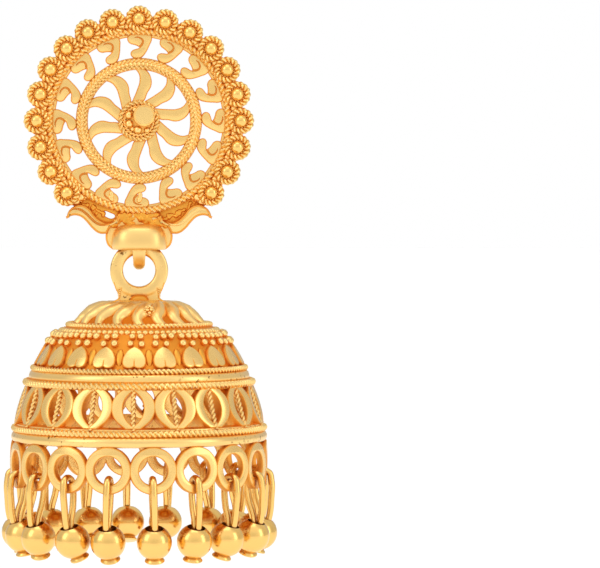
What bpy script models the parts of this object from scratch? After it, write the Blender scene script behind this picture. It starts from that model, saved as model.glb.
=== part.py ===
# Jhumka earring: a pierced rosette stud, a hanging bell and a fringe of eighteen bead drops.
# World frame: X to the viewer's right, Y away from the viewer, Z up.
# The origin is where the ear post leaves the back of the rosette.
import math

import bmesh
import bpy
from mathutils import Matrix, Vector

MM = 0.001
WELD = 0.002 * MM

# Clearances
SEAT_GAP = 0.10 * MM  # pieces that touch on the real earring
WIRE_GAP = 0.12 * MM  # a hairpin wire round the rim of its ring

# Rosette
PLATE_THICKNESS = 0.80 * MM
PLATE_RADIUS = 8.05 * MM
ROPE_FROM_EDGE = 0.15 * MM
ROPE_WIDTH = 0.50 * MM
ROPE_RISE = 0.28 * MM
BAND_RADIUS = 5.05 * MM
BAND_WIDTH = 0.90 * MM
BAND_RISE = 0.18 * MM
RING_SIDES = 36
CRESCENTS = 10
SCROLLS = 16

# Flowers round the rosette
FLOWER_PLACES = 24
FLOWERS_LEFT_OUT = 5
FLOWER_RADIUS = 1.22 * MM
FLOWER_LAP = 0.27 * MM
FLOWER_HEIGHT = 1.35 * MM
FLOWER_SIDES = 8

# Boss in the middle of the rosette
BOSS_RADIUS = 1.90 * MM
BOSS_RISE = 0.35 * MM
BOSS_SIDES = 16
CUP_RADIUS = 0.98 * MM
CUP_RISE = 1.00 * MM
CUP_ACROSS = 0.50 * MM
CUP_UP = 0.30 * MM

# S-shaped leaves below the rosette
LEAF_SPAN = 6.35 * MM
LEAF_DROP = 2.85 * MM
LEAF_WIDTH = 1.42 * MM
LEAF_LAP = 0.78 * MM
LEAF_THICKNESS = 1.00 * MM
LEAF_BACK = 0.05 * MM

# Bead cap and the loop under it
CAP_RADIUS = 2.42 * MM
CAP_HEIGHT = 2.34 * MM
CAP_BELOW_PLATE = 1.00 * MM
CAP_WALL = 0.92 * MM
CAP_SIDES = 16
FLANGE_HALF_WIDTH = 2.87 * MM
FLANGE_THICKNESS = 0.90 * MM
POCKET_SHOULDER = 0.32 * MM
POCKET_ROOM = 0.39 * MM
LOOP_BAR = 1.22 * MM
LOOP_WIDTH_LOW = 1.00 * MM
LOOP_WIDTH_HIGH = 1.38 * MM
LOOP_LEG = 1.00 * MM
LOOP_DROP = 1.13 * MM
LOOP_ROOM = 0.25 * MM
LOOP_ROOT = 0.62  # how far the legs rise into the cap, as a share of its height
LOOP_SIDES = 6
LOOP_BEND_STEPS = 6

# Ear post
POST_RADIUS = 0.45 * MM
POST_LENGTH = 10.5 * MM
POST_FOOT_RADIUS = 1.50 * MM
POST_FOOT = 0.40 * MM
POST_SIDES = 8

# Bail ring on the bell
BAIL_HOLE = 1.42 * MM
BAIL_WIDTH = 1.15 * MM
BAIL_THICKNESS = 1.10 * MM
BAIL_CHAMFER = 0.26 * MM
BAIL_SIDES = 20
BAIL_FOOT_RADIUS = 1.80 * MM
BAIL_FOOT_SIDES = 12

# Bell
BELL_RADIUS = 11.31 * MM
BELL_WALL = 0.60 * MM
BELL_SIDES = 36
CROWN_HEIGHT = 7.55 * MM
GADROON_RISE = 0.20 * MM
GADROON_GROOVE = 0.6  # depth of the grooves between the gadroons over their rise
GADROON_TURN_DEG = 12.0
PETALS = 21
PETAL_RISE = 0.30 * MM
PETAL_TURN_DEG = -2.8
OVALS = 18
OVAL_HEIGHT = 3.26 * MM
OVAL_TURN_DEG = -2.8
BELT_HEIGHT = 1.60 * MM
RINGS = 18
RING_LAP = 0.10 * MM
RING_WIDTH = 0.82 * MM
RING_HOLE_SIDES = 10
RING_TURN_DEG = 6.1

# Bead drops
WIRE = 0.56 * MM
WIRE_SIDES = 5
LINK_SHOULDER = 0.62  # width of a hairpin's bend over the spread of its legs
BEAD_RADIUS = 1.53 * MM
BEAD_SIDES = 10
BEAD_INSET = 0.29 * MM
BEAD_BELOW_RING = 4.18 * MM
BEAD_LEAN_DEG = 18.0
BORE_RADIUS = 0.78 * MM
BORE_DEPTH = 1.05 * MM
FOOT_RADIUS = 0.84 * MM
FOOT_HEIGHT = 0.42 * MM
SWING_DEG = 3.2
SWING_STEP = 2.4
SWING_START = 0.6

# Places that follow from the sizes
AXIS_Y = -PLATE_THICKNESS / 2
ROPE_RADIUS = PLATE_RADIUS - ROPE_FROM_EDGE
FLOWER_CIRCLE = PLATE_RADIUS + FLOWER_RADIUS - FLOWER_LAP
LEAF_TOP = LEAF_LAP - PLATE_RADIUS
CAP_TOP = -PLATE_RADIUS - CAP_BELOW_PLATE
CAP_BOTTOM = CAP_TOP - CAP_HEIGHT
LOOP_CENTRE = CAP_BOTTOM - LOOP_DROP
BAIL_OUTER = BAIL_HOLE + BAIL_WIDTH
BAIL_CENTRE = LOOP_CENTRE - (BAIL_HOLE - LOOP_BAR / 2 - SEAT_GAP)
POCKET_HALF_WIDTH = BAIL_OUTER - POCKET_SHOULDER
POCKET_HALF_DEPTH = CAP_RADIUS - CAP_WALL
POCKET_HEIGHT = BAIL_CENTRE + BAIL_OUTER + POCKET_ROOM - CAP_BOTTOM
BELL_TOP = BAIL_CENTRE - BAIL_OUTER
OVAL_TOP = BELL_TOP - CROWN_HEIGHT
BELT_TOP = OVAL_TOP - OVAL_HEIGHT
RIM_RADIUS = BELL_RADIUS - BELL_WALL / 2
RING_HALF_PITCH = math.pi / RINGS * RIM_RADIUS
RING_RADIUS = RING_HALF_PITCH + RING_LAP
RING_HOLE = RING_RADIUS - RING_WIDTH
RIM_CENTRE = BELT_TOP - BELT_HEIGHT - RING_RADIUS
BEAD_TOP = math.sqrt(BEAD_RADIUS**2 - BORE_RADIUS**2)

# Sections as shares. Columns: radius over the bell's, drop over the crown's height.
CROWN_OUTSIDE = (
    (0.290, 0.000),
    (0.322, 0.033),
    (0.439, 0.086),
    (0.498, 0.156),
    (0.533, 0.250),
    (0.572, 0.270),
    (0.578, 0.318),
    (0.690, 0.450),
    (0.784, 0.662),
    (0.812, 0.756),
    (0.845, 0.773),
    (0.849, 0.818),
    (0.863, 0.908),
    (0.896, 0.926),
    (0.900, 0.980),
    (0.880, 1.010),
)
CROWN_SHELL = (
    (0.000, 0.005),
    (0.400, 0.060),
    (0.560, 0.270),
    (0.800, 0.700),
    (0.872, 1.010),
)
# Rows of the crown that carry the swirled gadroons. Columns: row, share of the rise, share of the turn.
GADROON_ROWS = ((2, 0.6, 0.25), (3, 1.0, 0.6), (4, 0.8, 1.0))
# Petal outline. Columns: across over half the pitch, down over the petal zone.
PETAL_OUTLINE = ((0.00, 0.00), (0.50, 0.18), (0.80, 0.55), (0.62, 1.00))
PETAL_ZONE = (0.520, 0.745)
# Belt section. Columns: radius over the bell's, drop over the belt's height.
BELT_SECTION = (
    (0.930, -0.06),
    (0.984, -0.02),
    (1.006, 0.24),
    (0.986, 0.52),
    (0.992, 1.02),
    (0.937, 1.02),
)
# Pointed oval. Columns: across over half the pitch, down over the oval zone.
OVAL_OUTLINE = ((0.66, -0.03), (1.00, 0.38), (1.00, 0.66), (0.82, 0.87), (0.52, 1.03))
OVAL_SLOT = ((0.13, 0.18), (0.42, 0.30), (0.54, 0.57), (0.40, 0.84), (0.13, 0.94))
# Radius over the bell's down the oval zone, outside of the wall.
OVAL_RADII = ((-0.05, 0.905), (0.12, 0.930), (0.50, 0.957), (1.05, 0.975))
# Corners of a rim ring's outline, turned from its top, and half the joint to the next ring as a share
RING_CORNERS_DEG = (14.0, 48.0)
RING_JOINT = 0.24
RING_ROOT = 0.06
# Rows of a bead below its bore, turned from its top
BEAD_ROWS_DEG = (62.0, 90.0, 118.0, 146.0)
# Foot of the bail ring. Columns: radius over the foot's, height over the ring's width.
BAIL_FOOT_SECTION = ((0.60, 0.40), (0.72, 0.20), (1.00, -0.10))
# Edge of the plate. Columns: radius over the plate's, height over its thickness.
PLATE_SECTION = ((0.97, 0.00), (1.00, 0.10), (1.00, 1.00))
# Raised wires. Columns: across over the width, height over plate and wire together.
RAISED_SECTION = ((-0.50, 0.40), (-0.33, 1.00), (0.33, 1.00), (0.50, 0.40))
# Gap between two crescents. Columns: outwards from boss to band, turn over the pitch.
CRESCENT_GAP = (
    (0.20, 0.167),
    (0.40, 0.070),
    (0.65, -0.010),
    (0.86, -0.117),
    (0.96, 0.056),
    (0.97, 0.250),
    (0.90, 0.403),
    (0.705, 0.480),
    (0.475, 0.472),
    (0.31, 0.390),
)
# Gap between two scroll leaves. Columns: outwards from band to rope, turn over the pitch.
SCROLL_GAP = (
    (0.06, -0.230),
    (0.40, -0.085),
    (0.77, 0.010),
    (0.90, 0.115),
    (0.78, 0.220),
    (0.61, 0.310),
    (0.46, 0.460),
    (0.29, 0.290),
    (0.104, 0.187),
    (0.03, 0.000),
)
# S-shaped leaf. Columns: out over the span, down over the drop, width over the leaf's.
LEAF_SECTIONS = (
    (1.000, 0.44, 0.14),
    (0.923, 0.27, 0.45),
    (0.825, 0.22, 0.72),
    (0.713, 0.36, 0.90),
    (0.600, 0.60, 1.00),
    (0.490, 0.75, 1.00),
    (0.378, 0.70, 0.90),
    (0.270, 0.52, 0.60),
)
# Cap section. Columns: radius over the cap's, drop over the cap's height.
CAP_SECTION = ((0.42, 0.02), (0.78, 0.18), (0.97, 0.52), (1.00, 0.80), (0.97, 1.00))
# Flange outline. Columns: across over its half width, drop over the cap's height.
FLANGE_OUTLINE = ((0.80, -0.42), (0.86, 0.10), (1.00, 0.46), (1.00, 0.76), (0.90, 0.92), (0.72, 0.99))
# Hollow under the cap. Columns: size over the pocket's, height over the pocket's.
POCKET_SECTION = ((0.60, 1.00), (0.92, 0.60), (1.00, 0.00), (1.00, -0.50))
# Low metal between rope and leaf. Columns: out over the leaf's span, down over its drop.
WEB_OUTLINE = ((0.16, 0.10), (0.86, -0.35), (0.84, 0.14), (0.60, 0.50), (0.36, 0.62))
WEB_DEPTH = (0.12, 0.57)
# Slot above the left leaf: its middle, then half its length and width over the leaf's width.
SLOT_MIDDLE = (-0.475, 0.38)
SLOT_HALF_LENGTH = 0.32
SLOT_HALF_WIDTH = 0.15
SLOT_SLOPE = 0.35
SLOT_SIDES = 6
# Flower section. Columns: radius over the flower's, height over the flower's.
FLOWER_SECTION = ((0.98, 0.10), (1.00, 0.62), (0.62, 0.64), (0.42, 0.92))
# Boss and its cup. Columns: radius over the piece's, height from the plate's back over its own top.
BOSS_SECTION = ((0.96, 0.20), (1.00, 0.85), (0.88, 1.00), (0.70, 0.82))
CUP_SECTION = ((0.55, 0.22), (0.60, 0.70), (1.00, 0.89), (1.00, 1.00))
CUP_SIDES = 10
# Ear post. Columns: radius over the foot's, share of the foot's height from the plate.
POST_FOOT_SECTION = ((0.85, 0.00), (1.00, 0.50), (1.00, 1.00))
POST_TIP = 0.45


def clear_scene():
    for thing in list(bpy.data.objects):
        bpy.data.objects.remove(thing, do_unlink=True)


def add_object(name, mesh_builder, tool=False):
    mesh = bpy.data.meshes.new(name)
    bmesh.ops.recalc_face_normals(mesh_builder, faces=mesh_builder.faces)
    mesh_builder.to_mesh(mesh)
    mesh_builder.free()
    thing = bpy.data.objects.new(name, mesh)
    bpy.context.scene.collection.objects.link(thing)
    if tool:
        thing.hide_render = True
        thing.display_type = "WIRE"
    return thing


def gold(name, colour, roughness):
    material = bpy.data.materials.new(name)
    material.use_nodes = True
    shader = material.node_tree.nodes["Principled BSDF"]
    shader.inputs["Base Color"].default_value = (*colour, 1.0)
    shader.inputs["Metallic"].default_value = 1.0
    shader.inputs["Roughness"].default_value = roughness
    return material


def finish(thing, material, smooth=False):
    thing.data.materials.append(material)
    for face in thing.data.polygons:
        face.use_smooth = smooth


def combine(thing, tool, operation):
    step = thing.modifiers.new(f"{operation.lower()} {tool.name}", "BOOLEAN")
    step.operation = operation
    step.solver = "EXACT"
    step.object = tool


def polar(radius, turn):
    # Place on the face of the rosette, turned clockwise from the top as the viewer sees it
    return Vector((radius * math.sin(turn), 0.0, radius * math.cos(turn)))


def between(low, high, share):
    return low + (high - low) * share


def read_table(table, at):
    # Straight reading between the rows of a two-column table
    for (x0, y0), (x1, y1) in zip(table, table[1:]):
        if at <= x1:
            return between(y0, y1, max(0.0, (at - x0) / (x1 - x0)))
    return table[-1][1]


def turned(builder, section, sides, placing, closed=False, shape=None):
    """Turn a list of (radius, height) round the local Z axis.

    placing moves the finished rings. A closed section is a ring of metal; an open one is capped by
    its own ends. shape(row, side) gives an extra (radius, angle) for swirled rows.
    """
    rings = []
    for row, (radius, height) in enumerate(section):
        ring = []
        for side in range(sides):
            extra, turn = shape(row, side) if shape else (0.0, 0.0)
            angle = 2 * math.pi * side / sides + turn
            place = Vector(((radius + extra) * math.cos(angle), (radius + extra) * math.sin(angle), height))
            ring.append(builder.verts.new(placing @ place))
        rings.append(ring)
    pairs = list(zip(rings, rings[1:]))
    if closed:
        pairs.append((rings[-1], rings[0]))
    for upper, lower in pairs:
        for side in range(sides):
            after = (side + 1) % sides
            builder.faces.new((upper[side], upper[after], lower[after], lower[side]))
    if not closed:
        builder.faces.new(rings[0])
        builder.faces.new(rings[-1])


def prism(builder, outline, front, back):
    # A flat outline in X and Z, from one depth to another
    near = [builder.verts.new((x, front, z)) for x, z in outline]
    far = [builder.verts.new((x, back, z)) for x, z in outline]
    builder.faces.new(near)
    builder.faces.new(far)
    for index in range(len(outline)):
        after = (index + 1) % len(outline)
        builder.faces.new((near[index], near[after], far[after], far[index]))


def swept(builder, path, across, sizes, sides, start=0.5):
    # A wire along a path that stays in one plane; across is that plane's normal
    rings = []
    for index, point in enumerate(path):
        ahead = path[min(index + 1, len(path) - 1)]
        behind = path[max(index - 1, 0)]
        along = (ahead - behind).normalized()
        outward = along.cross(across).normalized()
        wide, deep = sizes[index]
        ring = []
        for side in range(sides):
            angle = 2 * math.pi * (side + start) / sides
            offset = across * (wide * math.cos(angle)) + outward * (deep * math.sin(angle))
            ring.append(builder.verts.new(point + offset))
        rings.append(ring)
    for near, far in zip(rings, rings[1:]):
        for side in range(sides):
            after = (side + 1) % sides
            builder.faces.new((near[side], near[after], far[after], far[side]))
    builder.faces.new(rings[0])
    builder.faces.new(rings[-1])


def facing_front(x, y, z):
    # Local Z towards the viewer, for pieces turned on the face of the rosette
    return Matrix.Translation((x, y, z)) @ Matrix.Rotation(math.pi / 2, 4, "X")


def upright(z):
    return Matrix.Translation((0.0, AXIS_Y, z))


def build_plate():
    builder = bmesh.new()
    section = [(wide * PLATE_RADIUS, high * PLATE_THICKNESS) for wide, high in PLATE_SECTION]
    turned(builder, section, RING_SIDES, facing_front(0.0, 0.0, 0.0))
    return add_object("rosette_stud", builder)


def gap_cutters():
    builder = bmesh.new()
    front = -2 * PLATE_THICKNESS
    back = PLATE_THICKNESS
    band_inside = BAND_RADIUS - BAND_WIDTH / 2
    band_outside = BAND_RADIUS + BAND_WIDTH / 2
    rope_inside = ROPE_RADIUS - ROPE_WIDTH / 2
    rows = (
        (CRESCENTS, CRESCENT_GAP, BOSS_RADIUS, band_inside),
        (SCROLLS, SCROLL_GAP, band_outside, rope_inside),
    )
    for count, table, inside, outside in rows:
        pitch = 2 * math.pi / count
        for copy in range(count):
            middle = (copy + 0.5) * pitch
            places = [polar(between(inside, outside, out), middle + turn * pitch) for out, turn in table]
            prism(builder, [(place.x, place.z) for place in places], front, back)
    return add_object("cutter_rosette_gaps", builder, tool=True)


def raised_rings():
    builder = bmesh.new()
    for radius, width, rise in ((ROPE_RADIUS, ROPE_WIDTH, ROPE_RISE), (BAND_RADIUS, BAND_WIDTH, BAND_RISE)):
        top = PLATE_THICKNESS + rise
        section = [(radius + across * width, high * top) for across, high in RAISED_SECTION]
        turned(builder, section, RING_SIDES, facing_front(0.0, 0.0, 0.0), closed=True)
    return add_object("tool_raised_rings", builder, tool=True)


def flower_places():
    pitch = 2 * math.pi / FLOWER_PLACES
    present = FLOWER_PLACES - FLOWERS_LEFT_OUT
    first = -(present - 1) // 2
    return [polar(FLOWER_CIRCLE, (first + copy) * pitch) for copy in range(present)]


def flowers(parity):
    builder = bmesh.new()
    section = [(share * FLOWER_RADIUS, height * FLOWER_HEIGHT) for share, height in FLOWER_SECTION]
    for place in flower_places()[parity::2]:
        turned(builder, section, FLOWER_SIDES, facing_front(place.x, 0.0, place.z))
    return add_object(f"tool_flowers_{parity}", builder, tool=True)


def boss():
    builder = bmesh.new()
    top = PLATE_THICKNESS + BOSS_RISE
    section = [(wide * BOSS_RADIUS, high * top) for wide, high in BOSS_SECTION]
    turned(builder, section, BOSS_SIDES, facing_front(0.0, 0.0, 0.0))
    return add_object("tool_boss", builder, tool=True)


def boss_cup():
    builder = bmesh.new()
    top = PLATE_THICKNESS + CUP_RISE
    section = [(wide * CUP_RADIUS, high * top) for wide, high in CUP_SECTION]
    turned(builder, section, CUP_SIDES, facing_front(CUP_ACROSS, 0.0, CUP_UP))
    return add_object("tool_boss_cup", builder, tool=True)


def leaf_outline(side):
    middle = []
    for out, down, wide in LEAF_SECTIONS:
        middle.append((Vector((side * out * LEAF_SPAN, LEAF_TOP - down * LEAF_DROP)), wide * LEAF_WIDTH / 2))
    upper = []
    lower = []
    for index, (point, half) in enumerate(middle):
        ahead = middle[min(index + 1, len(middle) - 1)][0]
        behind = middle[max(index - 1, 0)][0]
        along = (ahead - behind).normalized()
        normal = Vector((-along.y, along.x))
        upper.append(point + normal * half)
        lower.append(point - normal * half)
    return [tuple(point) for point in upper + lower[::-1]]


def leaves():
    builder = bmesh.new()
    back = -LEAF_BACK
    for side in (-1, 1):
        prism(builder, leaf_outline(side), back - LEAF_THICKNESS, back)
    return add_object("tool_leaves", builder, tool=True)


def leaf_webs():
    # The low metal between the rope and the leaves
    builder = bmesh.new()
    back, front = (-share * PLATE_THICKNESS for share in WEB_DEPTH)
    for side in (-1, 1):
        outline = [(side * out * LEAF_SPAN, LEAF_TOP - down * LEAF_DROP) for out, down in WEB_OUTLINE]
        prism(builder, outline, front, back)
    return add_object("tool_leaf_webs", builder, tool=True)


def slot_cutter():
    # The small see-through slot above the left leaf
    builder = bmesh.new()
    out, down = SLOT_MIDDLE
    centre = Vector((out * LEAF_SPAN, LEAF_TOP - down * LEAF_DROP))
    outline = []
    for corner in range(SLOT_SIDES):
        angle = 2 * math.pi * corner / SLOT_SIDES
        long = SLOT_HALF_LENGTH * LEAF_WIDTH * math.cos(angle)
        short = SLOT_HALF_WIDTH * LEAF_WIDTH * math.sin(angle)
        outline.append((centre.x + long + SLOT_SLOPE * short, centre.y - SLOT_SLOPE * long + short))
    prism(builder, outline, -2 * PLATE_THICKNESS, PLATE_THICKNESS)
    return add_object("cutter_slot", builder, tool=True)


def cap():
    builder = bmesh.new()
    section = [(share * CAP_RADIUS, CAP_TOP - drop * CAP_HEIGHT) for share, drop in CAP_SECTION]
    turned(builder, section, CAP_SIDES, upright(0.0))
    return add_object("tool_cap", builder, tool=True)


def flange():
    builder = bmesh.new()
    half = [(across * FLANGE_HALF_WIDTH, CAP_TOP - drop * CAP_HEIGHT) for across, drop in FLANGE_OUTLINE]
    outline = half + [(-x, z) for x, z in half[::-1]]
    prism(builder, outline, AXIS_Y - FLANGE_THICKNESS / 2, AXIS_Y + FLANGE_THICKNESS / 2)
    return add_object("tool_flange", builder, tool=True)


def pocket_cutter():
    # The hollow under the cap that takes the top of the bail ring
    builder = bmesh.new()
    sizes = Matrix.Diagonal((POCKET_HALF_WIDTH, POCKET_HALF_DEPTH, POCKET_HEIGHT, 1.0))
    turned(builder, POCKET_SECTION, CAP_SIDES, upright(CAP_BOTTOM) @ sizes)
    return add_object("cutter_pocket", builder, tool=True)


def loop():
    builder = bmesh.new()
    reach = BAIL_THICKNESS / 2 + LOOP_ROOM + LOOP_LEG / 2
    top = between(CAP_BOTTOM, CAP_TOP, LOOP_ROOT)
    middle = Vector((0.0, AXIS_Y, LOOP_CENTRE + reach))
    path = [Vector((0.0, AXIS_Y - reach, top))]
    for step in range(LOOP_BEND_STEPS + 1):
        angle = math.pi * step / LOOP_BEND_STEPS
        path.append(middle - reach * Vector((0.0, math.cos(angle), math.sin(angle))))
    path.append(Vector((0.0, AXIS_Y + reach, top)))
    sizes = []
    for point in path:
        share = min(1.0, max(0.0, (point.z - LOOP_CENTRE) / (top - LOOP_CENTRE)))
        wide = between(LOOP_WIDTH_LOW, LOOP_WIDTH_HIGH, share)
        deep = between(LOOP_BAR, LOOP_LEG, min(1.0, 2.0 * share))
        sizes.append((wide / 2, deep / 2 / math.cos(math.pi / LOOP_SIDES)))
    swept(builder, path, Vector((1.0, 0.0, 0.0)), sizes, LOOP_SIDES, 0.0)
    return add_object("tool_loop", builder, tool=True)


def build_stud(material):
    stud = build_plate()
    combine(stud, gap_cutters(), "DIFFERENCE")
    combine(stud, raised_rings(), "UNION")
    combine(stud, boss(), "UNION")
    combine(stud, boss_cup(), "UNION")
    combine(stud, leaf_webs(), "UNION")
    combine(stud, slot_cutter(), "DIFFERENCE")
    combine(stud, leaves(), "UNION")
    combine(stud, flowers(0), "UNION")
    combine(stud, flowers(1), "UNION")
    combine(stud, flange(), "UNION")
    combine(stud, cap(), "UNION")
    combine(stud, pocket_cutter(), "DIFFERENCE")
    combine(stud, loop(), "UNION")
    finish(stud, material)


def build_post(material):
    builder = bmesh.new()
    section = [(wide * POST_FOOT_RADIUS, -far * POST_FOOT) for wide, far in POST_FOOT_SECTION]
    section += [
        (POST_RADIUS, -POST_FOOT - SEAT_GAP),
        (POST_RADIUS, POST_RADIUS - POST_LENGTH),
        (POST_TIP * POST_RADIUS, -POST_LENGTH),
    ]
    turned(builder, section, POST_SIDES, facing_front(0.0, SEAT_GAP, 0.0))
    finish(add_object("ear_post", builder), material)


def crown_shape(row, side):
    for number, rise, turn in GADROON_ROWS:
        if row == number:
            lift = rise * GADROON_RISE * (1 if side % 2 else -GADROON_GROOVE)
            return lift, turn * math.radians(GADROON_TURN_DEG)
    settled = math.radians(GADROON_TURN_DEG) if GADROON_ROWS[-1][0] < row < len(CROWN_OUTSIDE) else 0.0
    return 0.0, settled


def crown_section():
    outside = [(share * BELL_RADIUS, BELL_TOP - drop * CROWN_HEIGHT) for share, drop in CROWN_OUTSIDE]
    shell = [Vector((share * BELL_RADIUS, BELL_TOP - drop * CROWN_HEIGHT)) for share, drop in CROWN_SHELL]
    inside = []
    for index in range(1, len(shell)):
        ahead = shell[min(index + 1, len(shell) - 1)]
        along = (ahead - shell[index - 1]).normalized()
        normal = Vector((along.y, -along.x))
        inside.append(tuple(shell[index] + normal * BELL_WALL))
    return outside + inside[::-1]


def build_crown():
    builder = bmesh.new()
    turned(builder, crown_section(), BELL_SIDES, upright(0.0), shape=crown_shape)
    return add_object("bell", builder)


def dome_place(share, angle, lift):
    # A point on the outside of the crown at a share of its height
    radius = read_table([(drop, wide) for wide, drop in CROWN_OUTSIDE], share) * BELL_RADIUS
    return Vector(((radius + lift) * math.sin(angle), AXIS_Y - (radius + lift) * math.cos(angle), 0.0))


def petals():
    builder = bmesh.new()
    pitch = 2 * math.pi / PETALS
    half = list(PETAL_OUTLINE)
    outline = half + [(-across, down) for across, down in half[:0:-1]]
    for copy in range(PETALS):
        middle = math.radians(PETAL_TURN_DEG) + copy * pitch
        rims = []
        for lift in (PETAL_RISE, -BELL_WALL / 2):
            rim = []
            for across, down in outline:
                share = between(*PETAL_ZONE, down)
                place = dome_place(share, middle + across * pitch / 2, lift)
                place.z = BELL_TOP - share * CROWN_HEIGHT + lift / 2
                rim.append(builder.verts.new(place))
            rims.append(rim)
        outer, inner = rims
        builder.faces.new(outer)
        builder.faces.new(inner)
        for index in range(len(outline)):
            after = (index + 1) % len(outline)
            builder.faces.new((outer[index], outer[after], inner[after], inner[index]))
    return add_object("tool_petals", builder, tool=True)


def flat_triangles(loops):
    # Fill an outline with holes and give the triangles as numbers into the joined list of points
    builder = bmesh.new()
    edges = []
    for points in loops:
        corners = [builder.verts.new((x, y, 0.0)) for x, y in points]
        for index, corner in enumerate(corners):
            edges.append(builder.edges.new((corner, corners[(index + 1) % len(corners)])))
    builder.verts.index_update()
    bmesh.ops.triangle_fill(builder, use_beauty=True, edges=edges)
    triangles = [tuple(corner.index for corner in face.verts) for face in builder.faces]
    builder.free()
    return triangles


def pierced_band(name, cells, loops, turn_deg, place):
    """A ring of equal pierced cells joined at their sides.

    loops[0] is the outline of one cell and the others are its holes, with x from -1 to 1 across the
    cell. place(x, y, angle, face) gives a point of the outer face (0) or the inner face (1).
    """
    builder = bmesh.new()
    triangles = flat_triangles(loops)
    points = [point for points in loops for point in points]
    pitch = 2 * math.pi / cells
    for copy in range(cells):
        middle = math.radians(turn_deg) + copy * pitch
        faces = []
        for face in (0, 1):
            faces.append([builder.verts.new(place(x, y, middle + x * pitch / 2, face)) for x, y in points])
        for a, b, c in triangles:
            builder.faces.new((faces[0][a], faces[0][b], faces[0][c]))
            builder.faces.new((faces[1][a], faces[1][c], faces[1][b]))
        start = 0
        for loop_points in loops:
            count = len(loop_points)
            for index in range(count):
                first = start + index
                second = start + (index + 1) % count
                if abs(points[first][0]) == 1.0 and points[first][0] == points[second][0]:
                    continue
                builder.faces.new((faces[0][first], faces[0][second], faces[1][second], faces[1][first]))
            start += count
    bmesh.ops.remove_doubles(builder, verts=builder.verts, dist=WELD)
    return add_object(name, builder, tool=True)


def around(radius, angle, z):
    return Vector((radius * math.sin(angle), AXIS_Y - radius * math.cos(angle), z))


def ovals():
    half = list(OVAL_OUTLINE)
    outline = half + [(-x, y) for x, y in half[::-1]]
    slot = list(OVAL_SLOT)

    def place(x, y, angle, face):
        radius = read_table(OVAL_RADII, y) * BELL_RADIUS - face * BELL_WALL
        return around(radius, angle, OVAL_TOP - y * OVAL_HEIGHT)

    loops = [outline, slot, [(-x, y) for x, y in slot]]
    return pierced_band("tool_ovals", OVALS, loops, OVAL_TURN_DEG, place)


def belt():
    builder = bmesh.new()
    section = [(share * BELL_RADIUS, BELT_TOP - drop * BELT_HEIGHT) for share, drop in BELT_SECTION]
    turned(builder, section, BELL_SIDES, upright(0.0), closed=True)
    return add_object("tool_belt", builder, tool=True)


def rim_rings():
    quarter = []
    for degrees in RING_CORNERS_DEG:
        angle = math.radians(degrees)
        quarter.append((RING_RADIUS * math.sin(angle) / RING_HALF_PITCH, -RING_RADIUS * math.cos(angle)))
    joint = RING_JOINT * RING_RADIUS
    half = quarter + [(1.0, -joint), (1.0, joint)] + [(x, -y) for x, y in quarter[::-1]]
    outline = half + [(-x, y) for x, y in half[::-1]]
    hole = []
    for side in range(RING_HOLE_SIDES):
        angle = 2 * math.pi * (side + 0.5) / RING_HOLE_SIDES
        hole.append((RING_HOLE * math.sin(angle) / RING_HALF_PITCH, RING_HOLE * math.cos(angle)))

    def place(x, y, angle, face):
        root = RING_ROOT * RING_RADIUS if y == quarter[0][1] else 0.0
        return around(BELL_RADIUS - face * BELL_WALL, angle, RIM_CENTRE - y + root)

    return pierced_band("tool_rim_rings", RINGS, [outline, hole], RING_TURN_DEG, place)


def bail():
    builder = bmesh.new()
    half = BAIL_THICKNESS / 2
    section = [
        (BAIL_HOLE, BAIL_CHAMFER - half),
        (BAIL_HOLE, half - BAIL_CHAMFER),
        (BAIL_HOLE + BAIL_CHAMFER, half),
        (BAIL_OUTER, half),
        (BAIL_OUTER, -half),
        (BAIL_HOLE + BAIL_CHAMFER, -half),
    ]
    turned(builder, section, BAIL_SIDES, facing_front(0.0, AXIS_Y, BAIL_CENTRE), closed=True)
    return add_object("tool_bail", builder, tool=True)


def bail_foot():
    builder = bmesh.new()
    section = [(wide * BAIL_FOOT_RADIUS, BELL_TOP + high * BAIL_WIDTH) for wide, high in BAIL_FOOT_SECTION]
    turned(builder, section, BAIL_FOOT_SIDES, upright(0.0))
    return add_object("tool_bail_foot", builder, tool=True)


def build_bell(material):
    bell = build_crown()
    combine(bell, petals(), "UNION")
    combine(bell, bail_foot(), "UNION")
    combine(bell, bail(), "UNION")
    combine(bell, ovals(), "UNION")
    combine(bell, belt(), "UNION")
    combine(bell, rim_rings(), "UNION")
    finish(bell, material)


def drop_frame(number):
    # Local X points outwards from the bell's axis and local Z up, with the origin in the foot of the ring
    pitch = 2 * math.pi / RINGS
    angle = math.radians(RING_TURN_DEG) + number * pitch
    root = around(RIM_RADIUS, angle, RIM_CENTRE - RING_HOLE - RING_WIDTH / 2)
    outwards = Vector((math.sin(angle), -math.cos(angle), 0.0))
    sideways = Vector((math.cos(angle), math.sin(angle), 0.0))
    frame = Matrix.Identity(4)
    for row in range(3):
        frame[row][0] = outwards[row]
        frame[row][1] = sideways[row]
        frame[row][2] = (0.0, 0.0, 1.0)[row]
        frame[row][3] = root[row]
    swing = math.radians(SWING_DEG) * math.sin(SWING_STEP * number + SWING_START)
    return frame @ Matrix.Rotation(swing, 4, "X")


def bead_frame():
    # The bead in its drop's frame, leaning with its foot under the bell
    place = Matrix.Translation((-BEAD_INSET, 0.0, -RING_WIDTH / 2 - BEAD_BELOW_RING))
    return place @ Matrix.Rotation(math.radians(BEAD_LEAN_DEG), 4, "Y")


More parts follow.
